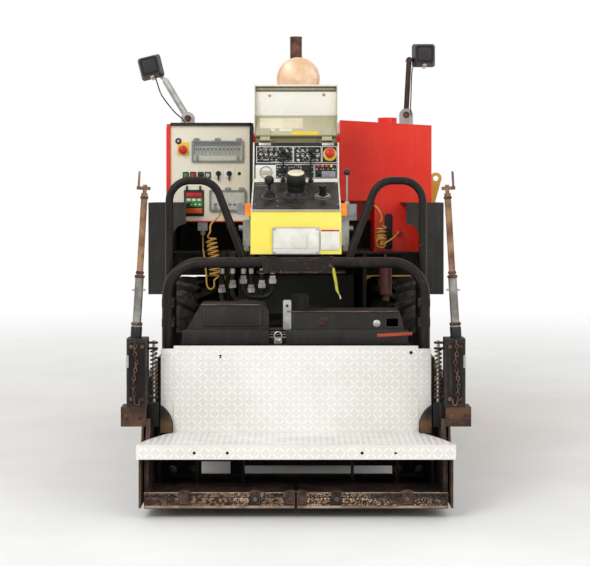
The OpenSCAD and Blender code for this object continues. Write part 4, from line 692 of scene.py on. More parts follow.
def chequer(name, corner, across, up, wide, high, keep, body):
    """Fills a rectangle with bars on a square lattice; keep says which centres (across, up) stay."""
    pitch = 23.5
    u, v = np.meshgrid(np.arange(pitch / 2, wide, pitch), np.arange(pitch / 2, high, pitch), indexing="ij")
    odd = (np.round(u / pitch - 0.5) + np.round(v / pitch - 0.5)) % 2 == 1
    parts = []
    for lean, chosen in ((math.pi / 4, odd), (-math.pi / 4, ~odd)):
        inside = chosen & keep(u, v)
        places = np.asarray(corner) + u[inside][:, None] * across + v[inside][:, None] * up
        parts.append(copies(lens_bar(across, up, lean), places))
    return piece(name, parts, bar_alloy, body, 70)


def off_holes(u, v, holes):
    """True where a point is at least 13 mm from each hole."""
    return np.all([np.hypot(u - a, v - b) > 13 for a, b in holes], axis=0)


KICK_Y, TAIL_Y, TREAD_Z = -1700, -2000, 300
chequer("chequer_kick", (-540, KICK_Y, TREAD_Z + 4), X, Z, 1080, 340,
        lambda u, v: ((np.abs(u - 540) < 488) | ((v > 130) & (v < 325))) & off_holes(u, v, [(235, 301), (1004, 316)]),
        "screed")
chequer("chequer_tread", (-608, TAIL_Y + 5, TREAD_Z), X, Y, 1216, 292,
        lambda u, v: np.abs(u - 608) < 598 - 115 * (v / 300) ** 1.2, "screed")
chequer("chequer_lip", (-608, TAIL_Y, TREAD_Z - 56), X, Z, 1216, 55,
        lambda u, v: off_holes(u, v, [(608 + x, 24) for x in (-390, -263, 253, 382)]), "screed")


# Electrical panel: everything that sits on its cream sheet
PANEL_Y = -944


def on_panel(x, z, out=0.0):
    """A point on the panel's face, x and z in mm, out mm in front of it."""
    return np.array([x, PANEL_Y - out, z])


def panel_window(x0, x1, z0, z1, name):
    """A clear flap in a frame, with two hinge lugs above and two clips below."""
    cx, cz, w, h = (x0 + x1) / 2, (z0 + z1) / 2, (x1 - x0), (z1 - z0)
    piece(name + "_frame", [framed(on_panel(cx, cz), w, h, 7, 11, 5)], blue_grey)
    piece(name + "_flap", [slab(on_panel(cx, cz, 8), w - 12, h - 12, 2, 3)], smoked_window)
    lugs = [slab(on_panel(x, z1 + 5), 26, 14, 12, 5) for x in (x0 + 22, cx, x1 - 22)]
    clips = [slab(on_panel(x, z0 + 14, 9), 10, 26, 5, 2) for x in (x0 + 26, x1 - 26)]
    piece(name + "_lugs", lugs + clips, blue_grey)


panel_window(-474, -238, 1405, 1502, "breaker_window")
panel_window(-394, -226, 1180, 1278, "meter_window")
# breakers behind the window: a dark top rail, a grey body, and a row of toggles
piece("breaker_rail", [slab(on_panel(-356, 1487, -5), 212, 26, 6)], black_nylon)
piece("breaker_bodies", [slab(on_panel(-452 + 17.6 * i, 1456, -4), 16, 44, 6, 1) for i in range(12)], grey_label)
piece("breaker_toggles", [slab(on_panel(-452 + 17.6 * i, 1464, 1), 9, 12, 6, 2) for i in range(12)], black_nylon)
piece("meter_body", [slab(on_panel(-310, 1229), 150, 78, 5, 2)], white_label)
piece("meter_keys", [slab(on_panel(-366 + 22 * i, 1212, 4.5), 14, 10, 2, 2) for i in range(6)], black_nylon)
# black strips along the panel's top and right side
piece("panel_dark_strips", [slab(on_panel(-386, 1577, 0), 370, 14, 12, 3), slab(on_panel(-202, 1362, 0), 18, 440, 12, 3)],
      hose_rubber)
piece("key_switch", [turned(on_panel(-535, 1501), -Y, [[14, 0], [14, 4], [12.5, 6], [8.5, 6], [8, 4], [0.1, 4]], 28)],
      black_nylon)
piece("key_barrel", [turned(on_panel(-535, 1501, 3.6), -Y, [[6.5, 0], [6.5, 3], [5.8, 3.6]], 20),
                     slab(on_panel(-535, 1501, 6.6), 1.6, 6, 0.6, 0.5)], zinc)
piece("stop_plate", [slab(on_panel(-513, 1466), 52, 60, 1.5, 6)], yellow_label)
mushroom = [[11, 0], [11, 14], [19, 17], [20.5, 21], [19, 26], [14, 29], [6, 30.5]]
piece("stop_button", [turned(on_panel(-513, 1460, 1), -Y, mushroom, 32)], red_plastic)


def push_button(x, z, finish, name):
    """A square bezel with a domed cap."""
    piece(name + "_bezel", [framed(on_panel(x, z), 27, 31, 4.5, 6, 3)], black_nylon)
    piece(name + "_cap", [turned(on_panel(x, z), -Y, [[10, 0], [10, 7], [8.8, 8.8], [5, 9.6]], 24)], finish)


for x, finish, name in ((-501, green_plastic, "start"), (-468, red_plastic, "halt"), (-433, black_nylon, "reset"),
                        (-401, grey_label, "lamp_test")):
    push_button(x, 1345, finish, name)
for x, name in ((-353, "selector_a"), (-304, "selector_b")):
    piece(name + "_plate", [slab(on_panel(x, 1352), 46, 44, 1.2, 3)], white_label)
    piece(name, [turned(on_panel(x, 1353, 1), -Y, [[12, 0], [12, 6], [10.5, 8.5], [6, 9]], 26),
                 slab(on_panel(x, 1342, 8), 7, 42, 6, 3)], black_nylon)
piece("pilot_hole", [turned(on_panel(-258, 1353), -Y, [[7.5, 0], [7.5, 2], [6, 3]], 20)], black_nylon)
# temperature controller: red display, green field with two rows of keys, orange strip
CONTROLLER_X = -464
piece("controller_case", [slab(on_panel(CONTROLLER_X, 1219), 91, 120, 5, 6), slab(on_panel(-496, 1286), 8, 22, 10, 2),
                          slab(on_panel(-436, 1286), 8, 22, 10, 2)], black_nylon)
piece("controller_display", [slab(on_panel(CONTROLLER_X, 1256, 5), 72, 19, 1, 2)], red_plastic)
piece("controller_field", [slab(on_panel(CONTROLLER_X, 1222, 5), 79, 41, 0.8, 2)], green_plastic)
piece("controller_keys", [slab(on_panel(-487 + 23 * i, 1233, 5.6), 16, 10, 1.5, 3) for i in range(3)]
      + [slab(on_panel(-476 + 19 * i, 1212, 5.6), 10, 8, 1.5, 3) for i in range(3)], white_label)
piece("controller_strip", [slab(on_panel(CONTROLLER_X, 1184, 5), 76, 24, 0.8, 2)], orange_plastic)
piece("panel_gland", [turned(on_panel(-334, 1183), -Y, [[12, 0], [12, 6], [8.5, 8], [8.5, 14], [5.5, 16]], 18)],
      black_nylon)


# Console: the slope and the face as planes in mm, from the same places as its solid
SLOPE_FOOT = np.array([0, -1600, 1190.0])
SLOPE_HEAD = np.array([0, -1310, 1313.0])
FACE_TOP = np.array([0, -1272, 1484.0])
SLOPE_UP = unit(SLOPE_HEAD - SLOPE_FOOT)
FACE_UP = unit(FACE_TOP - SLOPE_HEAD)
SLOPE_OUT = np.cross(X, SLOPE_UP)
FACE_OUT = np.cross(X, FACE_UP)
# the height dial, the steering stick and the knob on the slope: across, and up from its foot
DIAL, STICK, KNOB = (0, 150), (-112, 150), (112, 150)


def on_slope(x, u, out=0.0):
    """A point on the slope's black plate: x across, u mm up from its foot."""
    return (SLOPE_FOOT + SLOPE_UP * u + X * x + SLOPE_OUT * (3.3 + out))


def on_face(x, z, out=0.0):
    """A point on the face's black plate at height z."""
    u = (z - SLOPE_HEAD[2]) / FACE_UP[2]
    return (SLOPE_HEAD + FACE_UP * u + X * x + FACE_OUT * (3.3 + out))


def sloped(at, *sizes):
    """A slab that lies on the slope."""
    return slab(at, *sizes, X, SLOPE_UP)


def faced(at, *sizes):
    """A slab that lies on the face."""
    return slab(at, *sizes, X, FACE_UP)


def face_frame(x0, x1, z0, z1, bar=2.4):
    """A printed white border on the face."""
    return framed(on_face((x0 + x1) / 2, (z0 + z1) / 2), (x1 - x0), (z1 - z0), bar, 0.6, 2, X, FACE_UP)


SWITCHES = (-150, -128, -106, -84)
piece("face_borders", [face_frame(x0, x1, 1392, 1466) for x0, x1 in ((-171, -12), (-11, 110), (112, 178))]
      + [face_frame(x0, x1, 1326, 1388, 2) for x0, x1 in ((-88, 78), (80, 178))], white_label, "screed")
# small plain marks on the face: short bars and rounded squares beside the switches, in rows
piece("face_symbols", [faced(on_face(x, z), 10, 2.2, 0.5, 0.6, 0.2) for x in SWITCHES for z in (1450, 1408)]
      + [faced(on_face(x, 1446), 9, 9, 0.5, 3, 0.2) for x in (-62, -40, 8, 30, 52, 92)]
      + [faced(on_face(x, 1402), 12, 2.2, 0.5, 0.6, 0.2) for x in (-40, -20, 52, 72, 92)], grey_label, "screed")


def toggle(x, z):
    """A toggle switch: a hexagonal nut, a tapered lever with a round tip, leaning up."""
    at = on_face(x, z)
    lever = unit(FACE_OUT + 0.35 * FACE_UP)
    return [turned(at, FACE_OUT, [[6.2, 0], [6.2, 3], [5, 3.6]], 6),
            turned(at, lever, [[2.2, 0], [2.8, 15], [2.2, 17]], 10)]


piece("toggles", [part for x in SWITCHES for part in toggle(x, 1430)]
      + [part for x in (8, 30, 52, 92) for part in toggle(x, 1424)], zinc, "screed")
piece("round_switches", [turned(on_face(x, z), FACE_OUT, [[9, 0], [9, 3], [7.5, 4], [7.5, 12], [6, 13.5]], 20)
                         for x, z in ((-62, 1424), (-36, 1424), (72, 1424), (-64, 1356), (-38, 1356), (-12, 1356),
                                      (40, 1360), (62, 1360), (100, 1346))],
      black_nylon, "screed")
piece("white_knob", [turned(on_face(11, 1404), FACE_OUT, [[6, 0], [6, 6], [4.8, 8]], 18)], white_label, "screed")
piece("face_stop_ring", [turned(on_face(146, 1430), FACE_OUT, [[29, 0], [29, 2], [27, 3]], 36)], yellow_label, "screed")
piece("face_stop", [turned(on_face(146, 1432, 2), FACE_OUT,
                           [[12, 0], [12, 10], [20, 13], [21.5, 18], [19, 24], [11, 28], [4, 29]], 32)],
      red_plastic, "screed")
piece("gauge_plate", [faced(on_face(-131, 1352), 86, 66, 1.2, 3, 0.4)], white_label, "screed")
piece("gauge_ring", [hoop(on_face(-129, 1352, 1), FACE_OUT, [[27, 0], [27, 3], [25.5, 4], [24, 3], [24, 0]], 40)],
      blue_grey, "screed")
piece("gauge_display", [faced(on_face(-129, 1350, 1), 40, 18, 1.6, 2, 0.5)], beige_grey_and_lid_shade, "screed")
for x, finish, name in ((95, red_plastic, "a"), (114, orange_plastic, "b"), (133, red_plastic, "c"),
                        (152, yellow_label, "d")):
    piece("pilot_" + name, [turned(on_face(x, 1379), FACE_OUT, [[6.2, 0], [6.2, 2], [5, 5], [2, 6]], 18)], finish,
          "screed")
piece("scale_plate", [faced(on_face(140, 1345), 60, 26, 1, 3, 0.4)], blue_grey, "screed")
# cream disc on the height control's cap, ribs round it, and the dial ring under it
cap_top = on_slope(*DIAL, 104.4)
piece("dial_disc", [turned(cap_top, SLOPE_OUT, [[34, 0], [34, 1], [33, 1.6]], 40)], beige_label, "screed")
piece("dial_ribs", [turned(on_slope(*DIAL, h), SLOPE_OUT, [[37.5, 0], [38.5, 1.2], [37.5, 2.4]], 40)
                    for h in (50, 58, 66, 92)], black_nylon, "screed")
piece("dial_ring", [turned(on_slope(*DIAL, 0), SLOPE_OUT, [[64, 0], [64, 2], [58, 3], [58, 0.5]], 48)], grey_enamel,
      "screed")
piece("slope_dots", [turned(on_slope(x, u), SLOPE_OUT, [[4, 0], [4, 1.8], [3, 2.6]], 14)
                     for x, u in ((-76, 100), (-76, 40), (172, 60), (-170, 60), (172, 290), (-170, 290))],
      zinc, "screed")
piece("slope_marks", [sloped(on_slope(-150, 262), 50, 2, 0.6, 0.6, 0.2),
                      sloped(on_slope(-150, 282), 30, 2, 0.6, 0.6, 0.2),
                      framed(on_slope(*STICK), 62, 70, 1.6, 0.6, 31, X, SLOPE_UP),
                      framed(on_slope(*KNOB), 66, 74, 2.2, 0.6, 33, X, SLOPE_UP)], grey_label, "screed")
# white edge strips along the console's folded sides
for side, name, _ in SIDES:
    x = side * 182.5
    piece(f"console_edge_{name}",
          [slab((on_slope(x, -8) + on_slope(x, 312)) / 2, 6, 322, 3.5, 1, 0.5, X, SLOPE_UP),
           slab((on_face(x, 1322) + on_face(x, 1480)) / 2, 6, 164, 3.5, 1, 0.5, X, FACE_UP)], white_label, "screed")
piece("slope_lip", [sloped(on_slope(0, -3), 366, 8, 3.5, 1, 0.5)], grey_label, "screed")

# Yellow face: a blank plate with four rivets and a blank label
REAR_Y = -1625.3
piece("blank_plate", [slab((0, REAR_Y, 1069), 194, 110, 1.6, 4)], white_label, "screed")
piece("blank_plate_field", [slab((-25.5, REAR_Y - 1.5, 1067), 135, 56, 0.6, 2),
                            slab((69, REAR_Y - 1.5, 1067), 36, 56, 0.6, 2)], white_label, "screed")
piece("blank_plate_rivets", copies(turned((0, 0, 0), -Y, [[5.5, 0], [5, 2], [2, 3]], 16),
      [(x, REAR_Y - 1.4, z) for x in (-88, 86) for z in (1117, 1023)]), zinc, "screed")
piece("blank_label", [slab((139.5, REAR_Y, 1073), 78, 84, 0.6, 2)], white_label, "screed")
piece("blank_label_head", [slab((139.5, REAR_Y - 0.5, 1110.5), 76, 7, 0.5, 1)], red_plastic, "screed")


# Lid: two bent panels, in mm; the rear faces run from LID_FOOT over LID_MID to LID_TIP
LID_FOOT = np.array([0, -1249, 1510.0])
LID_MID = np.array([0, -1199, 1600.0])
LID_TIP = np.array([0, -1225, 1737.0])


def on_lid(x, z, out=0.0):
    """A point on the lid's rear face at height z, with the panel's up direction."""
    low, high = (LID_FOOT, LID_MID) if z < LID_MID[2] else (LID_MID, LID_TIP)
    up = unit(high - low)
    at = low + up * (z - low[2]) / up[2] + X * x + np.cross(X, up) * out
    return at, up


def on_lid_slab(x0, x1, z0, z1, depth=1.0, corner=2.0):
    """A thin plate on one of the lid's panels."""
    at, up = on_lid((x0 + x1) / 2, (z0 + z1) / 2)
    return slab(at, x1 - x0, (z1 - z0) / up[2], depth, corner, 0.3, X, up)


# the lower panel's beige-grey is painted shade of the lid's downward-angled lower half
piece("lid_lower_panel_shade", [on_lid_slab(-172, 172, 1512, 1597, 1)], beige_grey_and_lid_shade, "console_cover")
piece("lid_label", [on_lid_slab(-157, 30, 1545, 1590, 1.6)], beige_label, "console_cover")
piece("lid_white_strip", [on_lid_slab(-72, -17, 1533, 1544, 1.6, 1), on_lid_slab(-120, -92, 1534, 1543, 1.6, 1)],
      white_label, "console_cover")
piece("lid_yellow_label", [on_lid_slab(-20, 96, 1516, 1531, 1.6, 1)], yellow_label, "console_cover")
piece("lid_top_band", [on_lid_slab(-176, 176, 1706, 1733, 0.8, 1)], lid_olive_and_gap_shade, "console_cover")
piece("lid_top_line", [on_lid_slab(-172, 172, 1716, 1720, 1.6, 1)], white_label, "console_cover")
piece("lid_screws", [bolt(on_lid(x, z)[0], np.cross(X, on_lid(x, z)[1]), 11)
                     for x, z in ((-115, 1690), (121, 1693))], zinc, "console_cover")
piece("lid_bottom_seal", [rod((-178, -1253.5, 1512), (178, -1253.5, 1512), 4, 10)], lid_olive_and_gap_shade, "console_cover")
# rims folded back along the lid's sides
for side, name, _ in SIDES:
    edge = [on_lid(side * 178.5, z, 2)[0] for z in (1512, 1540, 1570, 1599, 1601, 1650, 1700, 1734)]
    piece(f"lid_rim_{name}", [tube(edge, 2.2, 8, X)], lid_olive_and_gap_shade, "console_cover")
piece("hinge_leaves", [faced(on_face(x, 1474), 52, 12, 2.2, 2, 0.6) for x in (-134, 138)], zinc, "screed")
piece("hinge_leaf_screws", bolts([on_face(x + dx, 1474, 2.2) for x in (-134, 138) for dx in (-17, 17)],
                                 FACE_OUT, 5), zinc, "screed")


# Work lamps: a ribbed rear panel, a rim, a lens in front, and a lead down each arm
def lamp_parts(at, tilt, name):
    """The details of one lamp, in its own turned frame. The lens bulges by 6 mm times (1 - t^4)(1 - v^4), with fine
    ripples across it."""
    c, s = math.cos(tilt), math.sin(tilt)
    across, up = np.array([c, 0, s]), np.array([-s, 0, c])
    at = np.asarray(at)
    rear, front = at - Y * 37.4, at + Y * 37
    piece(name + "_back", [slab(rear + Y * 1, 66, 66, 5, 12, 3, across, up),
                           framed(rear + Y * 0.6, 94, 94, 6, 2.2, 16, across, up)]
          + [slab(rear - Y * 3.5 + up * k * 11, 50, 4, 2.2, 1.5, 0.8, across, up) for k in (-2, -1, 0, 1, 2)],
          worn_nylon)
    piece(name + "_rim", [framed(front - Y * 4, 116, 116, 10, 8, 14, -across, up)], black_nylon)
    t, v = np.meshgrid(np.linspace(-1, 1, 21), np.linspace(-1, 1, 21), indexing="ij")
    dome = 6 * (1 - t ** 4) * (1 - v ** 4) + 0.4 * np.cos(v * 40)
    lens = front + 48 * t[..., None] * across + 48 * v[..., None] * up + (1 + dome)[..., None] * Y
    piece(name + "_lens", [grid(lens)], lamp_glass, "tractor", 60)
    piece(name + "_reflector", [slab(front + Y * 0.3, 95, 95, 0.7, 10, 0.3, -across, up)], hard_chrome)
    # hexagon nut and washer of the clamp under the housing
    piece(name + "_clamp", [bolt(at - up * 50 - Y * 30, -Y, 16),
                            rod(at - up * 57 - Y * 20, at - up * 57 + Y * 20, 11, 16)], zinc)


lamp_parts((-727, -300, 1894), math.radians(14), "left_lamp")
lamp_parts((639, -300, 1954), 0, "right_lamp")
left_lead = spline([[-700, -330, 1846], [-686, -332, 1800], [-668, -330, 1752], [-634, -328, 1704],
                    [-600, -326, 1664], [-566, -322, 1634], [-548, -310, 1606], [-538, -290, 1580],
                    [-536, -270, 1549]], 80)
piece("left_lamp_lead", [tube(left_lead, 3.2, 8, Y)], black_nylon, "tractor", 80)
right_lead = spline([[600, -322, 1936], [588, -326, 1915], [578, -326, 1880], [574, -324, 1820],
                     [572, -324, 1750], [570, -322, 1690], [574, -314, 1640], [572, -296, 1600],
                     [570, -280, 1549]], 80)
piece("right_lamp_lead", [tube(right_lead, 2.8, 8, Y)], black_nylon, "tractor", 80)
piece("lead_ties", [turned(path[k], path[k + 1] - path[k], [[4.5, -2], [4.8, 0], [4.5, 2]], 12)
                    for path in (left_lead, right_lead) for k in (18, 34, 50)], zinc)
piece("arm_foot_bolts", [bolt((x, -318.5, z), -Y, 26) for x, z in ((-539, 1636), (549, 1654))], dry_rust)
piece("arm_foot_base", [slab((x, -300, z), 70, 70, 6, 8, 1, X, Y) for x, z in ((-539, 1548), (549, 1548))], galvanised)


# Chains and hooks at the end gates
def chain(points, link=22, wire=2.8):
    """Oval links along a slack line, every second one turned a quarter turn round the line."""
    line = spline(points, 400)
    pitch = link - 2.2 * wire
    centres = along_path(line, np.arange(pitch / 2, run_of(line)[-1], pitch))
    along = unit(np.gradient(centres, axis=0))
    a = np.linspace(0, 2 * math.pi, 17)[:-1]
    parts = []
    for k, (at, way) in enumerate(zip(centres, along)):
        first = unit(np.cross(way, [0.3, 0.9, 0.2]))
        wide = first if k % 2 else np.cross(way, first)
        loop = at + (np.cos(a) * (link / 2 - wire))[:, None] * way + (np.sin(a) * link * 0.28)[:, None] * wide
        normal = np.cross(way, wide)
        out = unit(loop - at)
        b = np.arange(6) * math.pi / 3
        ring = wire * (np.cos(b)[None, :, None] * out[:, None] + np.sin(b)[None, :, None] * normal)
        rings = np.concatenate([loop[:, None] + ring, (loop[:, None] + ring)[:1]])
        parts.append(stack(rings, False))
    return parts


for side, name, _ in SIDES:
    body = f"extension_{name}"
    drop = [[side * 632, -1838, 684], [side * 634, -1842, 640], [side * 628, -1842, 600], [side * 634, -1843, 556],
            [side * 640, -1843, 510], [side * 636, -1842, 470]]
    piece(f"gate_chain_{name}", chain(drop), dry_rust, body, 60)
    hook = spline([[side * 636, -1842, 466], [side * 636, -1844, 446], [side * 630, -1844, 430],
                   [side * 620, -1844, 430], [side * 616, -1844, 444], [side * 618, -1844, 452]], 30)
    piece(f"gate_hook_{name}", [tube(hook, 3.6, 8, Y)], dry_rust, body, 80)
    # the guide box's cover plate, its bolts and its clip
    piece(f"gate_box_plate_{name}", [slab((side * 628, -1835, 555), 62, 240, 4, 4)], black_enamel, body)
    piece(f"gate_box_bolts_{name}", bolts([(side * x, -1839, z) for x in (606, 650) for z in (452, 658)], -Y, 12),
          dry_rust, body)
    piece(f"gate_step_bolts_{name}", bolts([(side * x, -1840.2, 382) for x in (612, 668)], -Y, 16), dry_rust, body)
    piece(f"gate_clip_{name}", [slab((side * 664, -1835, 600), 10, 50, 6, 3)], zinc, body)
    # collars, sleeve and pin of the winding post, along its own leaning line
    lean = math.radians(3.4)
    way = np.array([-side * math.sin(lean), 0, math.cos(lean)])
    foot = np.array([side * 636, -1790, 680])
    piece(f"post_collars_{name}", [hoop(foot + way * h, way, [[r, 0], [r + 4, 3], [r + 4, 10], [r, 13]], 24)
                                   for h, r in ((58, 19), (246, 16.5), (262, 12.5), (560, 12.5))], dry_rust, body)
    piece(f"post_sleeve_{name}", [turned(foot + way * 4, way, [[20.5, 0], [22.5, 2], [22.5, 46], [20.5, 50]], 28)],
          black_nylon, body)
    piece(f"post_pin_{name}", [rod(foot + way * 200 - X * 27, foot + way * 200 + X * 27, 4, 10)], zinc, body)


# The galvanised strap between the deck covers
piece("silver_strap", [slab((-36.5, -1580, 763), 34, 124, 4, 8), slab((-36.5, -1583.8, 740), 22, 30, 2, 5)], galvanised,
      "screed")
# a black disc on the strap, painted shade in place of its hole
piece("strap_hole_shade", [turned((-36.5, -1584, 800), -Y, [[6.2, 0], [6.2, 0.6], [5, 1]], 18)], black_nylon, "screed")


# Console again: strips at its folds, printed marks, and the grips' sleeves
piece("fold_strips", [sloped(on_slope(0, 307.5, 0.5), 362, 14, 1.2, 1, 0.4),
                      faced(on_face(0, 1318.5, 0.5), 362, 12, 1.2, 1, 0.4)], white_label, "screed")


def printed_marks(x0, x1, z0, z1, pitch):
    """Small white marks in rows, each cell empty, a bar, a ring or a square as the dice fall."""
    parts = []
    for z in np.arange(z0 + pitch / 2, z1, pitch):
        for x in np.arange(x0 + pitch / 2, x1, pitch):
            kind, at = rng.integers(0, 11), on_face(x, z)
            if kind < 3:
                parts.append(faced(at, *((6.2, 1.6), (6.2, 1.6), (1.6, 6.2))[kind], 0.5, 0.5, 0.2))
            elif kind < 5:
                high, corner = ((6.2, 3), (5, 0.6))[kind - 3]
                parts.append(framed(at, 6.2, high, 1.2, 0.5, corner, X, FACE_UP))
    return parts


piece("printed_marks", printed_marks(-168, -15, 1394, 1464, 8.6) + printed_marks(-8, 107, 1394, 1464, 8.6)
      + printed_marks(-85, 75, 1329, 1386, 10) + printed_marks(84, 176, 1361, 1372, 10), white_label, "screed")
piece("dial_sleeve", [turned(on_slope(*DIAL, 52), SLOPE_OUT,
                             [[37.5, 0], [40.5, 4], [41, 30], [41, 48], [38.5, 51.5], [34.5, 52]], 44)],
      black_nylon, "screed")
# the pale ring round the dial's flange is a painted highlight
piece("dial_edge_highlight", [hoop(on_slope(*DIAL, 0), SLOPE_OUT, [[65.5, 0], [65.5, 3.5], [63.5, 4.2], [62.8, 3]], 52)],
      worn_edge_and_highlight, "screed")
piece("stick_rings", [turned(on_slope(*STICK, h), SLOPE_OUT, [[r, 0], [r + 2.2, 1], [r + 2.2, 3], [r, 4]], 28)
                      for h, r in ((2, 27), (9, 22.5), (17, 18.5), (25, 14.5))], worn_nylon, "screed")
piece("stick_grip", [turned(on_slope(*STICK, 56), SLOPE_OUT,
                            [[8, 0], [18.5, 6], [20.5, 16], [19, 26], [13, 32], [4, 33]], 30)],
      black_nylon, "screed")
piece("knob_ring", [turned(on_slope(*KNOB, h), SLOPE_OUT, [[r, 0], [r + 2, 1], [r + 2, 3], [r, 4]], 28)
                    for h, r in ((2, 26), (46, 14))], zinc, "screed")
piece("lever_boots", [turned(on_slope(x, 308, 1), SLOPE_OUT, [[12, 0], [12, 4], [7, 12], [4.5, 20]], 20)
                      for x in (-55, 63)], hose_rubber, "screed")
# a dark strip in the gap under the lid, as painted shade; the lid's upper panel, and the frame round the blank plate
piece("lid_gap_shade_strip", [slab((0, -1238.5, 1497), 350, 27, 1.5, 2)], lid_olive_and_gap_shade, "screed")
piece("lid_upper_panel", [on_lid_slab(-174, 174, 1603, 1704, 0.7, 1)], white_panel, "console_cover")
piece("blank_plate_frame", [framed((0, REAR_Y - 1.2, 1069), 194, 110, 4.5, 0.8, 4),
                            slab((45.5, REAR_Y - 1.8, 1067), 1.6, 60, 0.6, 0.6),
                            slab((-25.5, REAR_Y - 1.8, 1038.5), 140, 1.4, 0.6, 0.6)], grey_label, "screed")


# Deck covers: skirts, a rusted plug, a washer, an orange strip, and a shackle
COVER_Y = -1580
piece("cover_skirts", [slab((-289, COVER_Y, 672), 354, 58, 24, 3, 1.5), slab((210, COVER_Y, 672), 498, 58, 24, 3, 1.5)],
      grey_enamel, "screed")
piece("cover_lips", [rod((-390, COVER_Y - 2, 804), (-150, COVER_Y - 2, 804), 3, 8),
                     rod((-38, COVER_Y - 2, 776), (424, COVER_Y - 2, 776), 3, 8)], worn_edge_and_highlight, "screed")
piece("cover_pressing", [slab((-262, COVER_Y, 752), 248, 76, 4, 14, 3)], grey_enamel, "screed")
piece("cover_plug", [turned((113, COVER_Y, 735), -Y, [[19, 0], [19, 3], [14, 5], [12, 3], [4, 3]], 26)], dry_rust,
      "screed")
piece("cover_washer", [turned((332, COVER_Y, 727), -Y, [[15, 0], [15, 3], [13, 4]], 26),
                       bolt((332, COVER_Y - 3.5, 727), -Y, 12)], zinc, "screed")
piece("cutout_rim", [framed((396, COVER_Y, 731.5), 60, 45, 6, 2, 4)], grey_enamel, "screed")
orange_up = unit([-0.055, 0, 1.0])
piece("orange_strip", [slab((405, COVER_Y - 23.5, 684), 145, 13, 2.5, 3, 0.8, unit(np.cross(orange_up, -Y)),
                            orange_up)], faded_orange, "screed")
ring = np.linspace(0, 2 * math.pi, 25)
piece("deck_shackle", [tube(np.stack([-74 + 15 * np.cos(ring), np.full(25, -1592), 676 + 18 * np.sin(ring)], axis=1),
                            3.5, 8, Y),
                       slab((-74, -1583, 656), 34, 26, 6, 4)], zinc, "screed")
tie = spline([[150, -1640, 962], [152, -1668, 955], [156, -1676, 930], [162, -1674, 900], [166, -1670, 872],
              [176, -1668, 850]], 40)
piece("yellow_tie", [tube(tie, np.interp(np.linspace(0, 1, 40), [0, 0.3, 0.8, 1], [3, 6.5, 6, 2]), 8, Y)], tie_yellow,
      "screed", 80)
piece("tie_tip", [rod((176, -1668, 852), (181, -1668, 834), 4, 10)], zinc, "screed")
# nuts, sleeves and spiral guards of the six hoses; each pair of them stands 20 mm higher than the last
HOSES = [(x, -1078 - 4 * i, 20 * i) for i, u in enumerate((-330, -282, -234)) for x in (u, u + 130)]
piece("hose_nuts", [turned((x, y, 822 + h), Z, [[18.5, 0], [18.5, 20], [14.5, 22], [14.5, 34], [12.2, 36]], 6)
                    for x, y, h in HOSES], zinc)
piece("hose_sleeves", [turned((x, y, 905), Z, [[11.2, 0], [13.5, 1], [13.5, 23], [11.2, 24]], 22)
                       for x, y, h in HOSES], zinc)
piece("hose_spiral", [turned((x, y, z), Z, [[11.2, 0], [12.4, 1.5], [11.2, 3]], 16)
                      for x, y, h in HOSES for z in np.arange(830 + h, 900, 8.5)], hose_rubber)


# Screed: ear plates, pins, wear strips, and the crust that dried on its rear walls
def upright_plate(outline, y, depth):
    """A plate with any outline in x and z, its rear face at y - depth. Its front edge is eased by 1 mm."""
    o = np.asarray(outline)
    centre = o.mean(axis=0)
    rings = [(1, 0), (1, depth - 1), (0.985, depth)]
    return stack(np.array([np.insert(centre + (o - centre) * k, 1, y - d, axis=1) for k, d in rings]))


for side, name, _ in SIDES:
    body = f"extension_{name}"
    a = np.linspace(math.pi, 2 * math.pi / 3, 14)
    arc = np.stack([595 + 98.5 * np.cos(a), 325 + 98.5 * np.sin(a)], axis=1)
    ear = np.concatenate([[[544, 302], [497.5, 302]], arc, [[544, 409]]]) * [side, 1]
    piece(f"ear_plate_{name}", [upright_plate(ear, -1730.2, 3)], ear_steel, "screed")
    corner = np.concatenate([arc, [[544.5, 411.5], [544.5, 424.5], [495.5, 424.5]]]) * [side, 1]
    piece(f"kick_corner_{name}", [upright_plate(corner, -1700, 6.5)], chequer_alloy, "screed")
    piece(f"frame_bolts_{name}", [turned((x, -1352, z), -Y, [[20, 0], [20, 4], [12, 6], [12, 16], [9, 18]], 22)
                                  for x, z in ((side * 528, 82), (side * 436, 82))], worn_edge_and_highlight, "screed")
    piece(f"gate_web_{name}", [slab((side * 568.5, -1788, 383), 47, 95, 6, 4)], black_enamel, body)
    # coil spring and its guide, between the guide box and the kick plate
    turns = np.linspace(0, 11 * 2 * math.pi, 260)
    coil = np.stack([side * 567 + 12.5 * np.cos(turns), -1765 + 12.5 * np.sin(turns), 455 + 185 * turns / turns[-1]],
                    axis=1)
    piece(f"gate_spring_{name}", [tube(coil, 3.2, 7, Z)], dry_rust, body, 80)
    piece(f"spring_guide_{name}", [rod((side * 567, -1765, 430), (side * 567, -1765, 676), 6, 12)], zinc, body)
    piece(f"spring_seats_{name}", [slab((side * 572, -1765, z), 42, 34, 7, 6, 1, X, Y) for z in (446, 641, 664)],
          black_enamel, body)


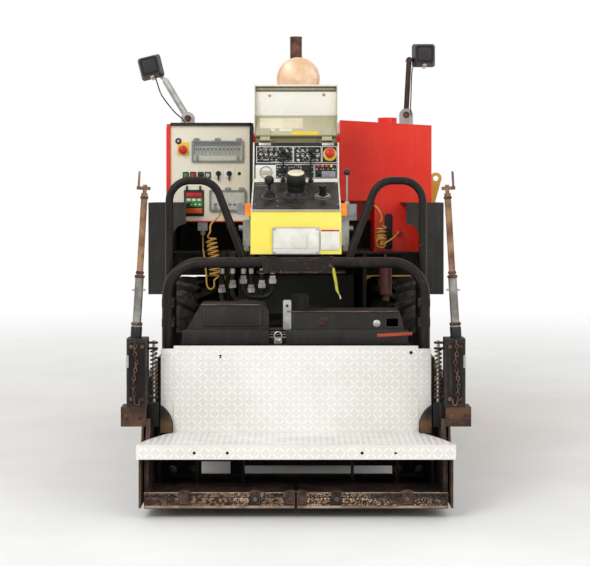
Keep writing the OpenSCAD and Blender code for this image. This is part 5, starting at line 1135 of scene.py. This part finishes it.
def crust(x0, x1, y, z, high, thick, seed):
    """A bead of dried mix along x. Its half-round section, a in 0 to pi, bulges by thick * sin(a) times a sum of
    sines of uneven lengths, so that it swells and thins like something that ran and set."""
    r = np.random.default_rng(seed)
    x, a = np.meshgrid(np.linspace(x0, x1, 220), np.linspace(0, math.pi, 9), indexing="ij")
    sines = zip(r.uniform(40, 420, 7), r.uniform(0, 6, 7), r.uniform(0.1, 0.35, 7))
    waves = sum(np.sin(x * MM * f + p) * k for f, p, k in sines)
    swell = np.clip(0.7 + waves, 0.12, 1.8) + 0.25 * r.standard_normal(x.shape)
    ends = np.clip((x - x0) / 10, 0, 1) * np.clip((x1 - x) / 10, 0, 1)
    bulge = thick * np.sin(a) * np.clip(swell, 0.05, 2) * ends
    return grid(np.stack([x, y - bulge + 0.6 * (1 - np.sin(a)), z + high / 2 * np.cos(a) * (0.8 + 0.2 * ends)],
                         axis=-1))


WALL_Y, CHEEK_X = -1930.2, 590.3
for side, name, out in SIDES:
    body = f"extension_{name}"
    spans = [sorted((side * a, side * b)) for a, b in ((40, 139), (177, 412), (450, 588))]
    parts = []
    for k, (x0, x1) in enumerate(spans):
        parts += [crust(x0, x1, WALL_Y, 93, 16, 5.5, 11 + k + side),
                  crust(x0 + 4, x1 - 6, WALL_Y, 72, 22, 3.5, 21 + k + side),
                  crust(x0, x1 - 10, WALL_Y, 55.5, 8, 4, 31 + k + side)]
    piece(f"mix_crust_{name}", parts, scorched_crust, body, 80)
    piece(f"wall_wear_strip_{name}", [slab((side * 297, WALL_Y, 47.5), 582, 10, 2.5, 1, 0.8)], pale_steel, body)
    piece(f"wall_top_edge_{name}", [rod((side * 6, -1928.5, 101.5), (side * 589, -1928.5, 101.5), 2.2, 8)], pale_steel,
          body)
    piece(f"knuckle_pins_{name}", [rod((side * x, -1936, 107), (side * (x + 46), -1936, 107), 4.5, 12)
                                   for x in (-2, 135, 408)], dry_rust, body)
    piece(f"strap_bolts_{name}", bolts([(side * (x + 17), -1938, 78) for x in (4, 141, 414)], -Y, 13), worn_edge_and_highlight, body)
    piece(f"cheek_bolts_{name}", bolts([(side * CHEEK_X, y, z) for y in (-1860, -1780, -1620, -1540) for z in (90, 260)
                                        if y > -1800 or z < 200], out, 18), dry_rust, body)


# Hood: side doors with louvre blades, hinges and latches; a top panel; the muffler's straps
HOOD_X, HOOD_Y, HOOD_TOP = 598, -105, 1548
HINGES = (-420, HOOD_Y, 210)
DECK_SIDE_X = 636.3
for side, name, out in SIDES:
    x, along = side * HOOD_X, side * Y
    piece(f"hood_door_{name}", [framed((x, HOOD_Y, 1215), 830, 460, 14, 3, 20, along, Z)], red_enamel)
    blades = []
    tilted = unit(np.array([-side * 0.55, 0, 0.83]))
    for row in (1060, 1180, 1300):
        for k in range(8):
            y = -440 + 88.75 * k + 28
            for step in (14, 35, 56):
                blades.append(slab((side * 592, y, row + step), 55.5, 22, 1.5, 1, 0.4, along, tilted, 1))
    piece(f"louvre_blades_{name}", blades, red_enamel)
    piece(f"hood_hinges_{name}", [rod((x + side * 4, y - 35, 1452), (x + side * 4, y + 35, 1452), 5.5, 12)
                                  for y in HINGES]
          + [slab((x, y, 1440), 60, 24, 3, 3, 0.8, along, Z) for y in HINGES], zinc)
    piece(f"hood_latches_{name}", [part for y in (-400, 190) for part in (
        turned((x, y, 1020), out, [[20, 0], [20, 4], [17, 6], [8, 6], [8, 16], [6, 18]], 26),
        slab((x + side * 14, y, 1020), 12, 52, 6, 4, 1.5, along, Z))], black_nylon)
    piece(f"hood_door_bolts_{name}",
          bolts([(x + side * 2.5, HOOD_Y + y, 1215 + z) for y in (-408, -204, 0, 204, 408) for z in (-223, 223)],
                out, 9), zinc)
    # bolts of the rear deck's side cover
    piece(f"side_panel_bolts_{name}",
          bolts([(side * DECK_SIDE_X, y, z) for y in (-1050, -980) for z in (900, 1010, 1130)], out, 12), zinc)
piece("hood_top_panel", [framed((0, HOOD_Y, HOOD_TOP), 1020, 840, 12, 3, 30, X, Y)], red_enamel)
piece("hood_top_bolts", bolts([(x, HOOD_Y + y, HOOD_TOP + 2.5) for x in (-500, -170, 170, 500) for y in (-412, 412)],
                              Z, 10), zinc)
piece("filler_cap", [turned((340, 140, HOOD_TOP), Z, [[38, 0], [38, 8], [43, 10], [43, 26], [36, 32], [12, 34]], 30)]
      + [slab((340, 140, HOOD_TOP + 32), 60, 12, 8, 4, 2, X, Y)], black_nylon)
piece("lifting_eyes", [part for x in (-420, 420) for part in (
    tube(np.stack([x + 24 * np.cos(ring), np.full(25, 300), HOOD_TOP + 34 + 24 * np.sin(ring)], axis=1), 6.5, 10, Y),
    turned((x, 300, HOOD_TOP), Z, [[22, 0], [22, 4], [12, 14]], 22))], zinc, "tractor", 60)
MUFFLER = np.array([11, -240, 1822])
piece("muffler_straps", [hoop(MUFFLER + Y * y, Y, [[102.2, -14], [104.5, -13], [104.5, 13], [102.2, 14]], 48)
                         for y in (-160, 160)], zinc)
piece("muffler_seams", [hoop(MUFFLER + Y * y, Y, [[101.5, -5], [104.2, -3], [105, 0], [104.2, 3], [101.5, 5]], 48)
                        for y in (-224, 224)], heat_tinted)
piece("pipe_collar", [hoop((0, -240, 1924), Z, [[30, 0], [34.5, 2], [34.5, 14], [30, 16]], 32)], heat_tinted)
piece("pipe_rim", [hoop((0, -240, 2044), Z, [[29.8, 0], [31.8, 1], [31.8, 5], [29.8, 5.9]], 32)], heat_tinted)

# Wheels: nuts, caps and valves
for side, name, out in SIDES:
    a = (np.arange(8) + 0.5) * math.pi / 4
    hub = np.array([side * 465, -500, 430])
    nuts = [hub + out * 28 + Y * 129 * math.cos(t) + Z * 129 * math.sin(t) for t in a]
    piece(f"drive_nuts_{name}", bolts(nuts, out, 30), dry_rust, f"drive_wheel_{name}")
    piece(f"drive_cap_{name}", [turned(hub + out * 22, out, [[66, 0], [66, 8], [58, 14], [52, 34], [40, 44],
                                                               [12, 47]], 36)], black_enamel, f"drive_wheel_{name}")
    piece(f"drive_ring_{name}", [hoop(hub + out * 99, out, [[253.5, -4], [256.5, -3], [258, 0], [253.5, 3]], 64)],
          lemon_enamel, f"drive_wheel_{name}")
    piece(f"drive_valve_{name}", [rod(hub + out * 55 + Z * 205, hub + out * 82 + Z * 213, 4.2, 10)], brass,
          f"drive_wheel_{name}")
    front = np.array([side * 477, 1080, 200])
    piece(f"front_cap_{name}", [turned(front + out * 58.5, out, [[46, 0], [46, 4], [36, 10], [32, 20], [12, 25]], 30)],
          zinc, f"front_wheel_{name}")
    nuts = [front + out * 13 + Y * 78 * math.cos(t) + Z * 78 * math.sin(t) for t in np.arange(6) * math.pi / 3]
    piece(f"front_nuts_{name}", bolts(nuts, out, 18), dry_rust, f"front_wheel_{name}")

# Electrical cabinet and tank: locks, a hem, and a black strip of painted shade on the tank's face
piece("cabinet_locks", [turned((-588.5, -720, z), -X, [[14, 0], [14, 3], [11, 6], [4, 6]], 22)
                       for z in (1230, 1460)], zinc)
piece("cabinet_hem", [framed((-588, -775, 1355), 330, 420, 10, 2.5, 12, -Y, Z)], red_enamel)
piece("tank_face_shade_strip", [slab((420, -951, 1090), 34, 160, 6, 10)], black_nylon)
